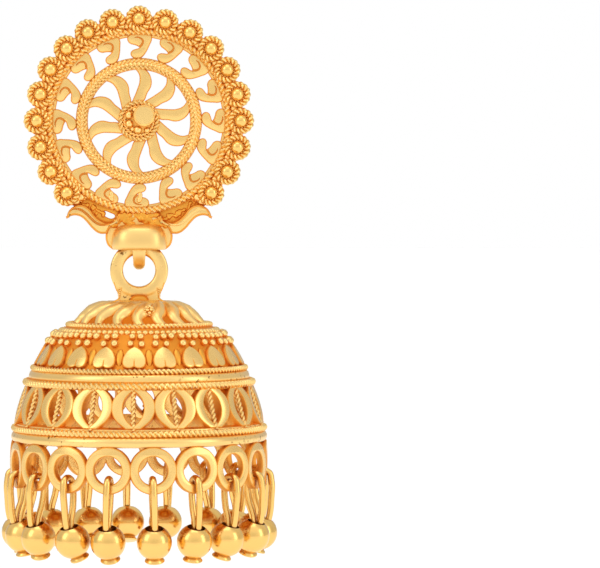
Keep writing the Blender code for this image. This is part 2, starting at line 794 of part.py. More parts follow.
def build_bead(number, material):
    builder = bmesh.new()
    section = [(BORE_RADIUS, BEAD_TOP - BORE_DEPTH), (BORE_RADIUS, BEAD_TOP)]
    for degrees in BEAD_ROWS_DEG:
        angle = math.radians(degrees)
        section.append((BEAD_RADIUS * math.sin(angle), BEAD_RADIUS * math.cos(angle)))
    section.append((FOOT_RADIUS, -BEAD_RADIUS - FOOT_HEIGHT))
    turned(builder, section, BEAD_SIDES, drop_frame(number) @ bead_frame())
    finish(add_object(f"drop_bead_{number + 1:02d}", builder), material, smooth=True)


def build_link(number, material):
    builder = bmesh.new()
    wire = WIRE / 2
    half_ring = RING_WIDTH / 2
    out = BELL_WALL / 2 + WIRE_GAP + wire
    shoulder = half_ring + WIRE_GAP + wire
    beside = wire + SEAT_GAP / 2
    floor = BEAD_TOP - BORE_DEPTH + WIRE_GAP
    bead = bead_frame()
    path = [
        bead @ Vector((beside, 0.0, floor)),
        Vector((out, 0.0, -half_ring)),
        Vector((out, 0.0, half_ring)),
        Vector((LINK_SHOULDER * out, 0.0, shoulder)),
        Vector((-LINK_SHOULDER * out, 0.0, shoulder)),
        Vector((-out, 0.0, half_ring)),
        Vector((-out, 0.0, -half_ring)),
        bead @ Vector((-beside, 0.0, BEAD_TOP)),
        bead @ Vector((-beside, 0.0, floor)),
    ]
    swept(builder, path, Vector((0.0, 1.0, 0.0)), [(wire, wire)] * len(path), WIRE_SIDES)
    bmesh.ops.transform(builder, matrix=drop_frame(number), verts=builder.verts)
    finish(add_object(f"drop_link_{number + 1:02d}", builder), material, smooth=True)


def main():
    clear_scene()
    polished = gold("polished gold", (0.91, 0.60, 0.22), 0.22)
    satin = gold("satin gold", (0.88, 0.56, 0.20), 0.32)
    build_stud(satin)
    build_post(satin)
    build_bell(satin)
    for number in range(RINGS):
        build_link(number, polished)
        build_bead(number, polished)


main()
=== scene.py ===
# %% [markdown]
# This notebook dresses a jhumka, the bell-shaped earring of South Asia, in gold. The earring hangs from a
# pierced rosette. A bell swings under it, and round the bell's rim hang eighteen hollow beads. The real one
# is cast from wax: wires, grains and flat ornaments are laid on the wax, so all of them end up as one
# piece of metal. The frame gives the solids and the joint, and each cell adds one detail at its real size.

# %% Load the frame
import math
import random

import bpy
from mathutils import Matrix, Vector


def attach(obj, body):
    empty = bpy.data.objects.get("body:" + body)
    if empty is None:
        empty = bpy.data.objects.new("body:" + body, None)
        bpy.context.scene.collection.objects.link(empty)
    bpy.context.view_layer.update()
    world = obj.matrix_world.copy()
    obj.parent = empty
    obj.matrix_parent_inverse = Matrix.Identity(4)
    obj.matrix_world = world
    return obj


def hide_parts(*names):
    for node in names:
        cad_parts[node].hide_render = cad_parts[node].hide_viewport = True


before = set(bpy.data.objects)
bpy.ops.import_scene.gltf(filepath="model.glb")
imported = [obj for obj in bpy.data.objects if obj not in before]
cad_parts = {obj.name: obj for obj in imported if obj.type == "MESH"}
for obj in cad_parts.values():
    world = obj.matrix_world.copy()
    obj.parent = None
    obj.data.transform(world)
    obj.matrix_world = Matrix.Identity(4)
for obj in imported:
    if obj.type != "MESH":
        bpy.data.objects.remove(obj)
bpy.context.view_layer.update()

# %% [markdown]
# A jeweller measures in millimetres, so every piece here is modelled in millimetres and shrunk to metres
# in its last step. The main sizes repeat those of the solids, and everything else is placed from them.

# %% Main sizes in millimetres
TO_METRES = 0.001
PLATE_FRONT = -0.80
BAND_RADIUS = 5.05
ROPE_RADIUS = 7.90
FLOWER_CIRCLE = 9.00
AXIS_Y = -0.40
BELL_RADIUS = 11.31
BELL_WALL = 0.60
OVAL_TOP = -23.35
RIM_CENTRE = -30.24
BAIL_CENTRE = -13.23
RINGS = 18
RING_TURN = math.radians(6.1)
FULL_TURN = 2 * math.pi

# %% [markdown]
# Operators act on whatever is selected, and the loaded solids come in selected. So each new piece starts
# from an empty selection. These small helpers start a piece, name it, move its place into its mesh and
# copy it. A copy gets its own mesh, so that every piece can be joined or turned by itself.

# %% Starting, naming and copying pieces
def start():
    bpy.ops.object.select_all(action="DESELECT")


def choose(*pieces):
    start()
    for piece in pieces:
        piece.select_set(True)
    bpy.context.view_layer.objects.active = pieces[0]


def named(name):
    piece = bpy.context.object
    piece.name = name
    piece.data.name = name
    return piece


def copy_of(piece, name, matrix):
    twin = piece.copy()
    twin.data = piece.data.copy()
    twin.name = name
    bpy.context.scene.collection.objects.link(twin)
    twin.data.transform(matrix)
    return twin


def delete(*pieces):
    for piece in pieces:
        bpy.data.objects.remove(piece, do_unlink=True)


def join(name, pieces):
    choose(*pieces)
    if len(pieces) > 1:
        bpy.ops.object.join()
    return named(name)


def apply_all(piece):
    choose(piece)
    for step in list(piece.modifiers):
        bpy.ops.object.modifier_apply(modifier=step.name)


def cut(piece, tool):
    step = piece.modifiers.new("cut", "BOOLEAN")
    step.solver = "EXACT"
    step.object = tool
    apply_all(piece)
    delete(tool)


# %% [markdown]
# Places on the rosette are given as on a clock face: how far from the middle, and how far round from the
# top. Places on the bell are given by height and by how far round from the front.

# %% Places on the rosette and round the bell
UP_TO_FRONT = Matrix.Rotation(math.pi / 2, 4, "X")


def clock(radius, turn):
    return Vector((radius * math.sin(turn), 0.0, radius * math.cos(turn)))


def on_clock(radius, turn, front):
    """Matrix that stands a piece on the rosette: its local Z faces the viewer, its Y points outwards."""
    spot = clock(radius, turn)
    return Matrix.Translation((spot.x, front, spot.z)) @ Matrix.Rotation(turn, 4, "Y") @ UP_TO_FRONT


def round_bell(turn):
    """Matrix that carries a piece from the front of the bell round its axis."""
    to_axis = Matrix.Translation((0.0, AXIS_Y, 0.0))
    return to_axis @ Matrix.Rotation(turn, 4, "Z") @ to_axis.inverted()


def between(low, high, share):
    return low + (high - low) * share


print("front of the bell:", round_bell(0.0) @ Vector((0.0, AXIS_Y - BELL_RADIUS, OVAL_TOP)))

# %% [markdown]
# A finished piece is shrunk to metres, shaded, given its metal and tied to the body that it moves with.
# Edges sharper than the given angle stay crisp, and all others are shaded as one smooth surface.

# %% Finishing a piece
def finished(piece, body, metal, crisp=40):
    piece.data.transform(Matrix.Scale(TO_METRES, 4))
    choose(piece)
    bpy.ops.object.shade_smooth_by_angle(angle=math.radians(crisp))
    piece.data.materials.clear()
    piece.data.materials.append(metal)
    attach(piece, body)
    print(piece.name, "faces:", len(piece.data.polygons))
    return piece


# %% [markdown]
# Gold plate looks pale and glossy where it was polished and deep orange in the hollows, where light bounces
# from gold to gold before it comes out. Here that deep orange is painted shade. All metals share one shader
# node group, the gold finish with painted shade. It takes an open tone, a painted shade tone and a mask of
# how hidden a spot is. It gives back the colour with the shade painted into hidden spots, the roughness and a
# fine height for the cast grain. The shader itself stays in each material. A few helpers add the nodes.

# %% The gold finish with painted shade, a shared node group
NUMBERS = ("Hidden", "Polished Roughness", "Grain Size", "Grain Depth", "Pits")
CLOUD_SCALE = 260.0
PORE_SCALE = 2900.0
PIT_STAIN = (0.30, 0.13, 0.03, 1.0)


def add_node(tree, kind, inputs, **settings):
    """Adds a shader node and gives each named input a value or a link from another node's output."""
    node = tree.nodes.new("ShaderNode" + kind)
    for name, value in settings.items():
        setattr(node, name, value)
    feed(tree, node, inputs)
    return node


def feed(tree, node, inputs):
    for name, value in inputs.items():
        if isinstance(value, bpy.types.NodeSocket):
            tree.links.new(value, node.inputs[name])
        else:
            node.inputs[name].default_value = value


def colour_mix(tree, share, first, second, blend="MIX"):
    inputs = {0: share, 6: first, 7: second}
    return add_node(tree, "Mix", inputs, data_type="RGBA", blend_type=blend).outputs[2]


def mapped(tree, value, low, high, at_low=0.0, at_high=1.0):
    """Turns a value from low to high into one from at_low to at_high, and keeps it between those."""
    inputs = {"Value": value, "From Min": low, "From Max": high, "To Min": at_low, "To Max": at_high}
    return add_node(tree, "MapRange", inputs).outputs["Result"]


def maths(tree, operation, *values):
    return add_node(tree, "Math", dict(enumerate(values)), operation=operation).outputs["Value"]


def gold_finish_and_painted_shade():
    group = bpy.data.node_groups.new("gold finish and painted shade", "ShaderNodeTree")
    sockets = [(name, "INPUT", "Color") for name in ("Open Tone", "Painted Shade Tone")]
    sockets += [(name, "INPUT", "Float") for name in NUMBERS]
    sockets += [("Colour", "OUTPUT", "Color")]
    sockets += [(name, "OUTPUT", "Float") for name in ("Roughness", "Height")]
    for name, way, kind in sockets:
        group.interface.new_socket(name=name, in_out=way, socket_type="NodeSocket" + kind)
    given = group.nodes.new("NodeGroupInput").outputs
    place = add_node(group, "TexCoord", {}).outputs["Object"]
    grain_inputs = {"Vector": place, "Scale": given["Grain Size"], "Detail": 3.0}
    grain = add_node(group, "TexNoise", grain_inputs).outputs["Fac"]
    cloud = add_node(group, "TexNoise", {"Vector": place, "Scale": CLOUD_SCALE}).outputs["Fac"]
    pores = add_node(group, "TexNoise", {"Vector": place, "Scale": PORE_SCALE}).outputs["Fac"]

    # Painted shade: hidden spots and marked faces take the shade tone instead of the open tone.
    tone = colour_mix(group, given["Hidden"], given["Open Tone"], given["Painted Shade Tone"])
    clouded = colour_mix(group, 1.0, tone, mapped(group, cloud, 0.0, 1.0, 0.90, 1.08), "MULTIPLY")
    patches = maths(group, "MULTIPLY", mapped(group, cloud, 0.50, 0.60), given["Pits"])
    pitted = maths(group, "MULTIPLY", mapped(group, pores, 0.60, 0.68), patches)
    rougher = maths(group, "MULTIPLY_ADD", given["Hidden"], 0.30, given["Polished Roughness"])
    outputs = {
        "Colour": colour_mix(group, pitted, clouded, PIT_STAIN),
        "Roughness": maths(group, "MULTIPLY_ADD", grain, 0.10, rougher),
        "Height": maths(group, "MULTIPLY", grain, given["Grain Depth"]),
    }
    feed(group, group.nodes.new("NodeGroupOutput"), outputs)
    return group


FINISH_AND_SHADE = gold_finish_and_painted_shade()
print("node group:", FINISH_AND_SHADE.name)

# %% [markdown]
# Six metals use it. The drops are tumbled to a bright polish. The wires and grains keep the fine skin of
# their mould, and the two smooth bands have pits in theirs. The flats are cut bright, the cap is brushed to
# satin, and the sunken ground is matt, with its deep orange painted in as shade. How hidden a spot lies is
# measured with the ambient occlusion node, over about one grain, and hidden spots get painted shade. A face
# attribute adds painted shade on edges and engraved lines as well.

# %% The gold materials
GRAIN_SCALE = 2600.0
GRAIN_HEIGHT = 0.00003


def gold(name, polished, shade_tone, roughness, reach, grain_depth, pits=0.0):
    """reach is how far round itself a spot looks for other metal, in metres."""
    metal = bpy.data.materials.new(name)
    metal.use_nodes = True
    tree = metal.node_tree
    # Painted shade: the ambient occlusion mask darkens hidden spots towards the shade tone.
    openness = add_node(tree, "AmbientOcclusion", {"Distance": reach}, samples=6).outputs["AO"]
    hidden = mapped(tree, openness, 0.15, 0.75, 1.0, 0.0)
    # Painted shade also comes from a face attribute set on edges, engraved lines and the dome.
    painted_shade_mark = add_node(tree, "Attribute", {}, attribute_name="painted_shade_mark").outputs["Fac"]
    finish_inputs = {
        "Open Tone": (*polished, 1.0),
        "Painted Shade Tone": (*shade_tone, 1.0),
        "Hidden": maths(tree, "MAXIMUM", hidden, painted_shade_mark),
        "Polished Roughness": roughness,
        "Grain Size": GRAIN_SCALE,
        "Grain Depth": grain_depth,
        "Pits": pits,
    }
    finish = add_node(tree, "Group", finish_inputs, node_tree=FINISH_AND_SHADE).outputs
    bump_inputs = {"Strength": 0.25, "Distance": GRAIN_HEIGHT, "Height": finish["Height"]}
    shader_inputs = {
        "Metallic": 1.0,
        "Base Color": finish["Colour"],
        "Roughness": finish["Roughness"],
        "Normal": add_node(tree, "Bump", bump_inputs).outputs["Normal"],
    }
    feed(tree, tree.nodes["Principled BSDF"], shader_inputs)
    return metal


# Each metal's second colour is the painted shade tone for its hidden spots and marked faces.
CAST = gold("cast gold", (0.96, 0.65, 0.24), (1.00, 0.50, 0.08), 0.22, 0.0009, 0.3)
PITTED = gold("pitted gold", (0.96, 0.64, 0.23), (0.95, 0.46, 0.06), 0.24, 0.0008, 0.3, 1.0)
CUT = gold("cut flats gold", (0.96, 0.63, 0.22), (0.84, 0.34, 0.04), 0.22, 0.0006, 0.05)
SATIN = gold("satin gold", (0.96, 0.64, 0.23), (0.93, 0.42, 0.05), 0.32, 0.0007, 0.1)
# The ground gold is matt, and its deep orange first tone is painted shade for sunken places.
SHADED_GROUND = gold("ground gold in painted shade", (0.88, 0.41, 0.06), (0.74, 0.22, 0.015), 0.34, 0.0010, 1.0)
# The polished gold's dark shade tone is painted shade, deepest inside the bead holes.
BRIGHT = gold("polished gold", (0.94, 0.59, 0.18), (0.46, 0.10, 0.01), 0.17, 0.0007, 0.05)
for metal in (CAST, PITTED, CUT, SATIN, SHADED_GROUND, BRIGHT):
    print("material:", metal.name)

# %% [markdown]
# Flat ornaments start as outlines, as a piercing saw sees them. A bezier circle is added and its points are
# set to the outline, corners with straight handles and the rest with automatic ones. A flat curve fills
# itself, leaves inner outlines open, and rounds its own edges, so this is far shorter than cutting holes.
# The same curve helper draws the lines that wires follow further down.

# %% A sheet cut along outlines
CURVE_STEPS = 5
FLAT_TOLERANCE = 0.004
# Share of painted shade on faces off the flats: dark outlines on edges and in engraved lines.
EDGE_SHADE_SHARE = 0.85


def bezier(name, outlines, closed):
    """A curve through each list of points, smooth but where a point ends in the word corner."""
    start()
    bpy.ops.curve.primitive_bezier_circle_add(radius=1.0)
    curve = named(name).data
    curve.splines.clear()
    for outline in outlines:
        spline = curve.splines.new("BEZIER")
        spline.bezier_points.add(len(outline) - 1)
        spline.use_cyclic_u = closed
        spline.resolution_u = CURVE_STEPS
        for knot, point in zip(spline.bezier_points, outline):
            sharp = point[-1] == "corner"
            knot.co = (*(point[:-1] if sharp else point), 0.0)[:3]
            knot.handle_left_type = "VECTOR" if sharp else "AUTO"
            knot.handle_right_type = knot.handle_left_type
    return curve


def sheet_cut(name, outlines, thick, rounding):
    curve = bezier(name, outlines, True)
    curve.dimensions = "2D"
    curve.fill_mode = "BOTH"
    curve.extrude = thick / 2 - rounding
    curve.bevel_depth = rounding
    curve.bevel_resolution = 1
    curve.offset = -rounding
    bpy.ops.object.convert(target="MESH")
    weld(bpy.context.object)
    mark_painted_shade(bpy.context.object, thick)
    return named(name)


def mark_painted_shade(sheet, thick):
    """Marks all faces but the two flats with painted shade, so that edges and engraved lines take the shade
    tone.
    """
    marks = sheet.data.attributes.get("painted_shade_mark") or sheet.data.attributes.new("painted_shade_mark", "FLOAT", "FACE")
    for face in sheet.data.polygons:
        flat = abs(face.center.z) > thick / 2 - FLAT_TOLERANCE
        marks.data[face.index].value = 0.0 if flat else EDGE_SHADE_SHARE


def weld(piece, distance=0.0005):
    choose(piece)
    bpy.ops.object.mode_set(mode="EDIT")
    bpy.ops.mesh.select_all(action="SELECT")
    bpy.ops.mesh.remove_doubles(threshold=distance)
    bpy.ops.mesh.normals_make_consistent(inside=False)
    bpy.ops.object.mode_set(mode="OBJECT")


def circle(radius, points=12, x=0.0, y=0.0):
    steps = [FULL_TURN * step / points for step in range(points)]
    return [(x + radius * math.cos(a), y + radius * math.sin(a)) for a in steps]


# %% [markdown]
# Round parts such as the cap, the dome and the beads are turned, as on a lathe. A single point is drawn out
# along the profile, and the line that it leaves is spun round the upright axis.

# %% Turning on a lathe
def draw_out(way):
    bpy.ops.mesh.extrude_region_move(TRANSFORM_OT_translate={"value": way})


def turned_piece(name, profile, sides=48):
    """Spins a list of (radius, height) round the local Z axis, as a lathe does."""
    start()
    bpy.ops.mesh.primitive_plane_add(size=1.0)
    piece = named(name)
    bpy.ops.object.mode_set(mode="EDIT")
    bpy.ops.mesh.merge(type="CENTER")
    bpy.ops.transform.translate(value=(profile[0][0], 0.0, profile[0][1]))
    for (radius, height), (next_radius, next_height) in zip(profile, profile[1:]):
        draw_out((next_radius - radius, 0.0, next_height - height))
    bpy.ops.mesh.select_all(action="SELECT")
    bpy.ops.mesh.spin(steps=sides, angle=FULL_TURN, center=(0.0, 0.0, 0.0), axis=(0.0, 0.0, 1.0))
    bpy.ops.object.mode_set(mode="OBJECT")
    weld(piece)
    return piece


# %% [markdown]
# Twisted wire is the jeweller's trim: two round wires twisted together and laid down. Here two small circles
# are the two wires, end on. A Screw modifier turns them as it draws them out, just as the pliers do, and a
# Simple Deform modifier bends the twisted wire to a ring, for the ropes round the bell and the flowers. Each
# circle's radius and place are shares of the whole wire's width.

# %% Twisted wire, straight or bent to a ring
STRAND_RADIUS = 0.33
STRAND_PLACE = 0.17


def twisted_wire(name, length, wide, twists, sides=6, steps_a_twist=4, hand=1):
    """A pair of wires along local X, twisted by half a turn for each of its twists."""
    start()
    strands = []
    for side in (-1, 1):
        place = (-length / 2, side * wide * STRAND_PLACE, 0.0)
        bpy.ops.mesh.primitive_circle_add(vertices=sides, radius=wide * STRAND_RADIUS, location=place)
        bpy.ops.transform.rotate(value=math.pi / 2, orient_axis="Y", center_override=place)
        bpy.ops.object.transform_apply()
        strands.append(named(f"{name} strand {side}"))
    wire = join(name, strands)
    wire.data.transform(Matrix.Translation(wire.location))
    wire.location = (0.0, 0.0, 0.0)
    screw = wire.modifiers.new("twist", "SCREW")
    screw.axis = "X"
    screw.angle = hand * math.pi * twists
    screw.screw_offset = length
    screw.steps = twists * steps_a_twist
    screw.render_steps = screw.steps
    apply_all(wire)
    return wire


def capped(wire, sides=6):
    """Closes the cut ends of a straight wire."""
    choose(wire)
    bpy.ops.object.mode_set(mode="EDIT")
    bpy.ops.mesh.select_all(action="SELECT")
    bpy.ops.mesh.fill_holes(sides=sides)
    bpy.ops.object.mode_set(mode="OBJECT")
    weld(wire, 0.00001)
    return wire


def rope_ring(name, radius, wide, twist_length, height=0.0, sides=6, steps_a_twist=4, hand=1):
    """A ring of twisted wire round the local Z axis."""
    length = FULL_TURN * radius
    twists = max(6, round(length / twist_length))
    wire = twisted_wire(name, length, wide, twists, sides, steps_a_twist, hand)
    bend = wire.modifiers.new("ring", "SIMPLE_DEFORM")
    bend.deform_method = "BEND"
    bend.deform_axis = "Z"
    bend.angle = FULL_TURN
    apply_all(wire)
    wire.data.transform(Matrix.Translation((0.0, -radius, height)))
    weld(wire)
    return wire


# %% [markdown]
# Grains are tiny balls of gold. A low icosphere shaded smooth is round enough at this size, so hundreds
# of them stay light. They are modelled once and copied to every place in a list.

# %% Grains in many places
def grains(name, places):
    """places is a list of (centre, radius)."""
    start()
    bpy.ops.mesh.primitive_ico_sphere_add(subdivisions=2, radius=1.0)
    first = named(name + " seed")
    copies = [
        copy_of(first, f"{name} {number}", Matrix.Translation(centre) @ Matrix.Scale(radius, 4))
        for number, (centre, radius) in enumerate(places)
    ]
    delete(first)
    return join(name, copies)


print("helpers ready")

# %% [markdown]
# The rosette is built up on three flat rings: one under the boss, one under the braid and one under the rope
# at the edge. Between them lie ten crescents and sixteen scroll leaves, and light comes through the gaps.

# %% The flat rings of the rosette
BAND_WIDE = 1.06
EDGE_RING = (8.22, 7.42)
BAND_RING = (BAND_RADIUS + BAND_WIDE / 2, BAND_RADIUS - BAND_WIDE / 2)
BOSS_DISC = 1.85
SHEET_THICK = 0.62
SOFT_EDGE = 0.08


def lay_on_front(piece, back, thick):
    """Stands a flat sheet up so that its back is back millimetres in front of the ear."""
    piece.data.transform(Matrix.Translation((0.0, -back - thick / 2, 0.0)) @ UP_TO_FRONT)
    return piece


flat_rings = [
    sheet_cut("edge ring", [circle(radius, 24) for radius in EDGE_RING], SHEET_THICK, SOFT_EDGE),
    sheet_cut("band ring", [circle(radius, 24) for radius in BAND_RING], SHEET_THICK, SOFT_EDGE),
    sheet_cut("boss disc", [circle(BOSS_DISC, 16)], SHEET_THICK, SOFT_EDGE),
]
disc = lay_on_front(join("rosette_rings", flat_rings), 0.0, SHEET_THICK)
finished(disc, "stud", CUT)
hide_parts("rosette_stud")

# %% [markdown]
# A crescent is a flat blade with one tip on the braid and its foot on the boss. One is cut from sheet, and
# ten copies are laid round the boss. Each copy lies a hair's breadth askew, as on a thing made by hand,
# so each one catches the light in its own tone.

# %% The ten crescents
CRESCENTS = 10
LEAF_EDGE = 0.10
CRESCENT = (
    (-0.80, 4.95, "corner"), (-0.06, 4.25), (0.06, 3.61), (-0.19, 2.72), (-0.62, 1.70, "corner"),
    (0.34, 1.70), (0.76, 2.47), (1.10, 3.11), (1.10, 3.74), (0.80, 4.36), (0.28, 4.78),
)
random.seed(11)


def askew(most):
    """A small random tilt about the two flat directions, in degrees up to most."""
    tilt = Matrix.Rotation(math.radians(random.uniform(-most, most)), 4, "X")
    return tilt @ Matrix.Rotation(math.radians(random.uniform(-most, most)), 4, "Y")


def laid_round(name, seed, count, middle, most_tilt, spread):
    """Copies a flat piece clockwise round the rosette and tilts each copy about its own middle."""
    there = Matrix.Translation(middle)
    copies = []
    for number in range(count):
        turn = number * FULL_TURN / count + math.radians(random.uniform(-spread, spread))
        tilted = there @ askew(most_tilt) @ there.inverted()
        copies.append(copy_of(seed, f"{name} {number}", Matrix.Rotation(-turn, 4, "Z") @ tilted))
    delete(seed)
    return join(name, copies)


blade = sheet_cut("crescent", [CRESCENT], SHEET_THICK, LEAF_EDGE)
crescents = laid_round("crescents", blade, CRESCENTS, middle=(0.5, 3.2, 0.0), most_tilt=1.6, spread=1.0)
finished(lay_on_front(crescents, 0.10, SHEET_THICK), "stud", CUT)

# %% [markdown]
# A scroll leaf has two lobes with a notch between them, and an engraved line that curls from the notch into
# the outer lobe. The outline is cut from sheet, and the line is cut in with a thin bent wire as the tool.
# Every place is given as degrees round from the leaf's middle and a radius, so it fits the ring of leaves.

# %% The sixteen scroll leaves
SCROLLS = 16
GROOVE_TAPER = (0.9, 1.0, 1.0, 0.9, 0.8, 0.6, 0.2)
SCROLL = (
    (-3.6, 5.52), (-6.3, 5.70), (-7.2, 5.98), (-5.8, 6.23), (-2.8, 6.36), (-0.6, 6.42),
    (0.4, 6.50, "corner"), (-1.2, 6.62), (-3.8, 6.74), (-6.4, 6.86), (-8.1, 7.16), (-7.6, 7.52),
    (-4.6, 7.74), (0.0, 7.76), (4.0, 7.80), (7.4, 7.76), (9.0, 7.36), (8.0, 6.74), (6.4, 6.20),
    (3.6, 5.72), (0.6, 5.52),
)
SCROLL_LINE = ((-1.2, 6.46), (1.2, 6.62), (2.6, 6.86), (2.6, 7.14), (0.6, 7.34), (-2.0, 7.40), (-3.6, 7.34))


def on_leaf(point):
    spot = clock(point[1], math.radians(point[0]))
    return (spot.x, spot.z, *point[2:])


def wire_along(name, points, thick, taper=()):
    """A round wire along a smooth line. taper gives each point's share of the thickness."""
    curve = bezier(name, [points], False)
    for knot, share in zip(curve.splines[0].bezier_points, taper):
        knot.radius = share
    curve.bevel_depth = thick / 2
    curve.bevel_resolution = 3
    curve.use_fill_caps = True
    bpy.ops.object.convert(target="MESH")
    return named(name)


def engrave(sheet, thick, line, height, wide, taper):
    """Cuts a wire that follows a line of (x, y) at one height out of a sheet."""
    engraver = wire_along("engraver", [(*point, height) for point in line], wide, taper)
    weld(engraver, 0.001)
    cut(sheet, engraver)
    # The engraved groove gets painted shade too.
    mark_painted_shade(sheet, thick)


leaf = sheet_cut("scroll leaf", [[on_leaf(point) for point in SCROLL]], SHEET_THICK, LEAF_EDGE)
engrave(leaf, SHEET_THICK, [on_leaf(point) for point in SCROLL_LINE], 0.28, 0.21, GROOVE_TAPER)
leaves = laid_round("scroll_leaves", leaf, SCROLLS, middle=(0.0, 6.7, 0.0), most_tilt=2.2, spread=1.2)
finished(lay_on_front(leaves, 0.12, SHEET_THICK), "stud", CUT, 30)

# %% [markdown]
# Twisted wires lie on the disc. One thick rope runs round the edge. Between the rows, three finer ones lie
# side by side on a low turned bed. Neighbours have opposite twists, which makes them look braided.

# %% Ropes and braid on the disc
def on_plate(piece, lift=0.0):
    """Stands a piece that was made flat round the origin on the front of the disc."""
    piece.data.transform(Matrix.Translation((0.0, PLATE_FRONT - lift, 0.0)) @ UP_TO_FRONT)
    return piece


edge_rope = on_plate(rope_ring("edge_rope", ROPE_RADIUS + 0.02, 0.66, 0.46), 0.04)
finished(edge_rope, "stud", CAST)
BRAID_BED = ((4.72, -0.1), (4.78, 0.06), (4.92, 0.15), (5.05, 0.18), (5.18, 0.15), (5.32, 0.06), (5.38, -0.1))
STRAND_STEP = 0.25
braid = [
    turned_piece("braid bed", [*BRAID_BED, BRAID_BED[0]], 96),
    rope_ring("inner strand", BAND_RADIUS - STRAND_STEP, 0.52, 0.40),
    rope_ring("middle strand", BAND_RADIUS, 0.34, 0.36, height=0.10, hand=-1),
    rope_ring("outer strand", BAND_RADIUS + STRAND_STEP, 0.52, 0.40, hand=-1),
]
finished(on_plate(join("braided_band", braid), 0.04), "stud", CAST)

# %% [markdown]
# Nineteen flowers stand round the edge. A flower is a coarse ring of twisted wire on a small cup, with a
# ball in its middle that is polished brighter than the rest. It is modelled once and copied round the clock,
# each copy turned a little further, as no two were laid on the wax alike. Where the cap hangs, five places
# stay empty.

# %% Flowers round the edge
PLACES = 24
FLOWERS = 19
COIL_RADIUS = 0.88
FLOWER_CUP = ((0.0, -0.80), (0.95, -0.80), (1.14, -0.60), (1.16, 0.16), (0.86, 0.36), (0.0, 0.40))
BALL_RADIUS = 0.59
BALL_CENTRE = 0.40
BALL_STEP = 0.26
COPY_TURN = 0.31

coil = rope_ring("flower ring", COIL_RADIUS, 0.66, 0.36, height=0.30, sides=7, steps_a_twist=5)
seed = join("flower", [coil, turned_piece("flower cup", FLOWER_CUP, 20)])
ball_profile = []
for step in range(7):
    angle = BALL_STEP * step
    ball_profile.append((BALL_RADIUS * math.sin(angle), BALL_CENTRE + BALL_RADIUS * math.cos(angle)))
ball_seed = turned_piece("flower ball", [*ball_profile, (0.50, 0.10), (0.0, 0.10)], 20)
flowers = []
balls = []
for copy in range(FLOWERS):
    turn = (copy - FLOWERS // 2) * FULL_TURN / PLACES
    stand = on_clock(FLOWER_CIRCLE, turn, PLATE_FRONT)
    flowers.append(copy_of(seed, f"flower {copy}", stand @ Matrix.Rotation(COPY_TURN * copy, 4, "Z")))
    balls.append(copy_of(ball_seed, f"ball {copy}", stand))
delete(seed, ball_seed)
finished(join("edge_flowers", flowers), "stud", CAST)
finished(join("flower_balls", balls), "stud", BRIGHT, 60)

# %% [markdown]
# Short ends of twisted wire fill the twenty corners between the flowers and the rope. In each corner stand
# two of them like a V, each leaning a little its own way, and two grains close it.

# %% Fillers between the flowers
FILLER_CIRCLE = 8.50
FILLER_SPREAD = 0.030
FILLER_LEAN = 0.42
fillers = []
short_end = capped(twisted_wire("short end", 0.95, 0.46, 3))
short_end.data.transform(Matrix.Rotation(math.pi / 2, 4, "Z"))
for copy in range(-1, FLOWERS):
    turn = (copy - FLOWERS / 2 + 1) * FULL_TURN / PLACES
    for side in (-1, 1):
        stand = on_clock(FILLER_CIRCLE, turn + side * FILLER_SPREAD, PLATE_FRONT + 0.12)
        lean = Matrix.Rotation(side * FILLER_LEAN + random.uniform(-0.12, 0.12), 4, "Z")
        fillers.append(copy_of(short_end, f"filler {copy} {side}", stand @ lean))
    high_spot = clock(9.02, turn) + Vector((0.0, PLATE_FRONT + 0.05, 0.0))
    low_spot = clock(FILLER_CIRCLE, turn) + Vector((0.0, PLATE_FRONT + 0.14, 0.0))
    fillers.append(grains(f"corner grain {copy}", [(high_spot, 0.28), (low_spot, 0.42)]))
delete(short_end)
finished(join("corner_fillers", fillers), "stud", CAST)

# %% [markdown]
# The boss in the middle is two rings of twisted wire round a few grains. A small flat-topped cup stands on
# it, a little up and to the right of the middle, as the caster set it.

# %% The boss with its grains and cup
BOSS_PLATE = ((0.0, -0.5), (1.72, -0.5), (1.78, 0.02), (0.0, 0.06))
# Right, up and forwards from the middle of the boss, and the grain's radius
BOSS_GRAINS = (
    (-0.89, 0.50, 0.34, 0.35),
    (-0.86, -0.26, 0.34, 0.36),
    (-0.10, -0.80, 0.36, 0.37),
    (-0.56, -0.70, 0.20, 0.24),
    (0.70, -0.82, 0.18, 0.26),
    (-0.36, 0.96, 0.18, 0.26),
)
BOSS_CUP = (
    (0.0, 0.1), (0.62, 0.1), (0.70, 0.50), (0.90, 0.66), (0.95, 0.78), (0.95, 0.92), (0.91, 0.99),
    (0.86, 1.00), (0.83, 0.97), (0.81, 0.93), (0.77, 0.93), (0.0, 0.97),
)
CUP_PLACE = (0.46, 0.46, 0.0)


def grains_from(name, table):
    """table is a list of (x, y, z, radius)."""
    return grains(name, [(Vector(place), radius) for *place, radius in table])


boss_plate = turned_piece("boss plate", BOSS_PLATE, 48)
boss_rope = rope_ring("boss rope", 1.60, 0.50, 0.40, height=0.12)
inner_rope = rope_ring("inner boss rope", 1.27, 0.34, 0.30, height=0.16, hand=-1)
cup = turned_piece("boss cup", BOSS_CUP, 48)
cup.data.transform(Matrix.Translation(CUP_PLACE))
boss = join("boss", [boss_plate, boss_rope, inner_rope, grains_from("boss grains", BOSS_GRAINS), cup])
finished(on_plate(boss), "stud", CAST)

# %% [markdown]
# Under the rosette two S-shaped leaves meet. They are cut from thicker sheet, with rounded edges and an
# engraved line along the middle, and the right one is the left one mirrored.

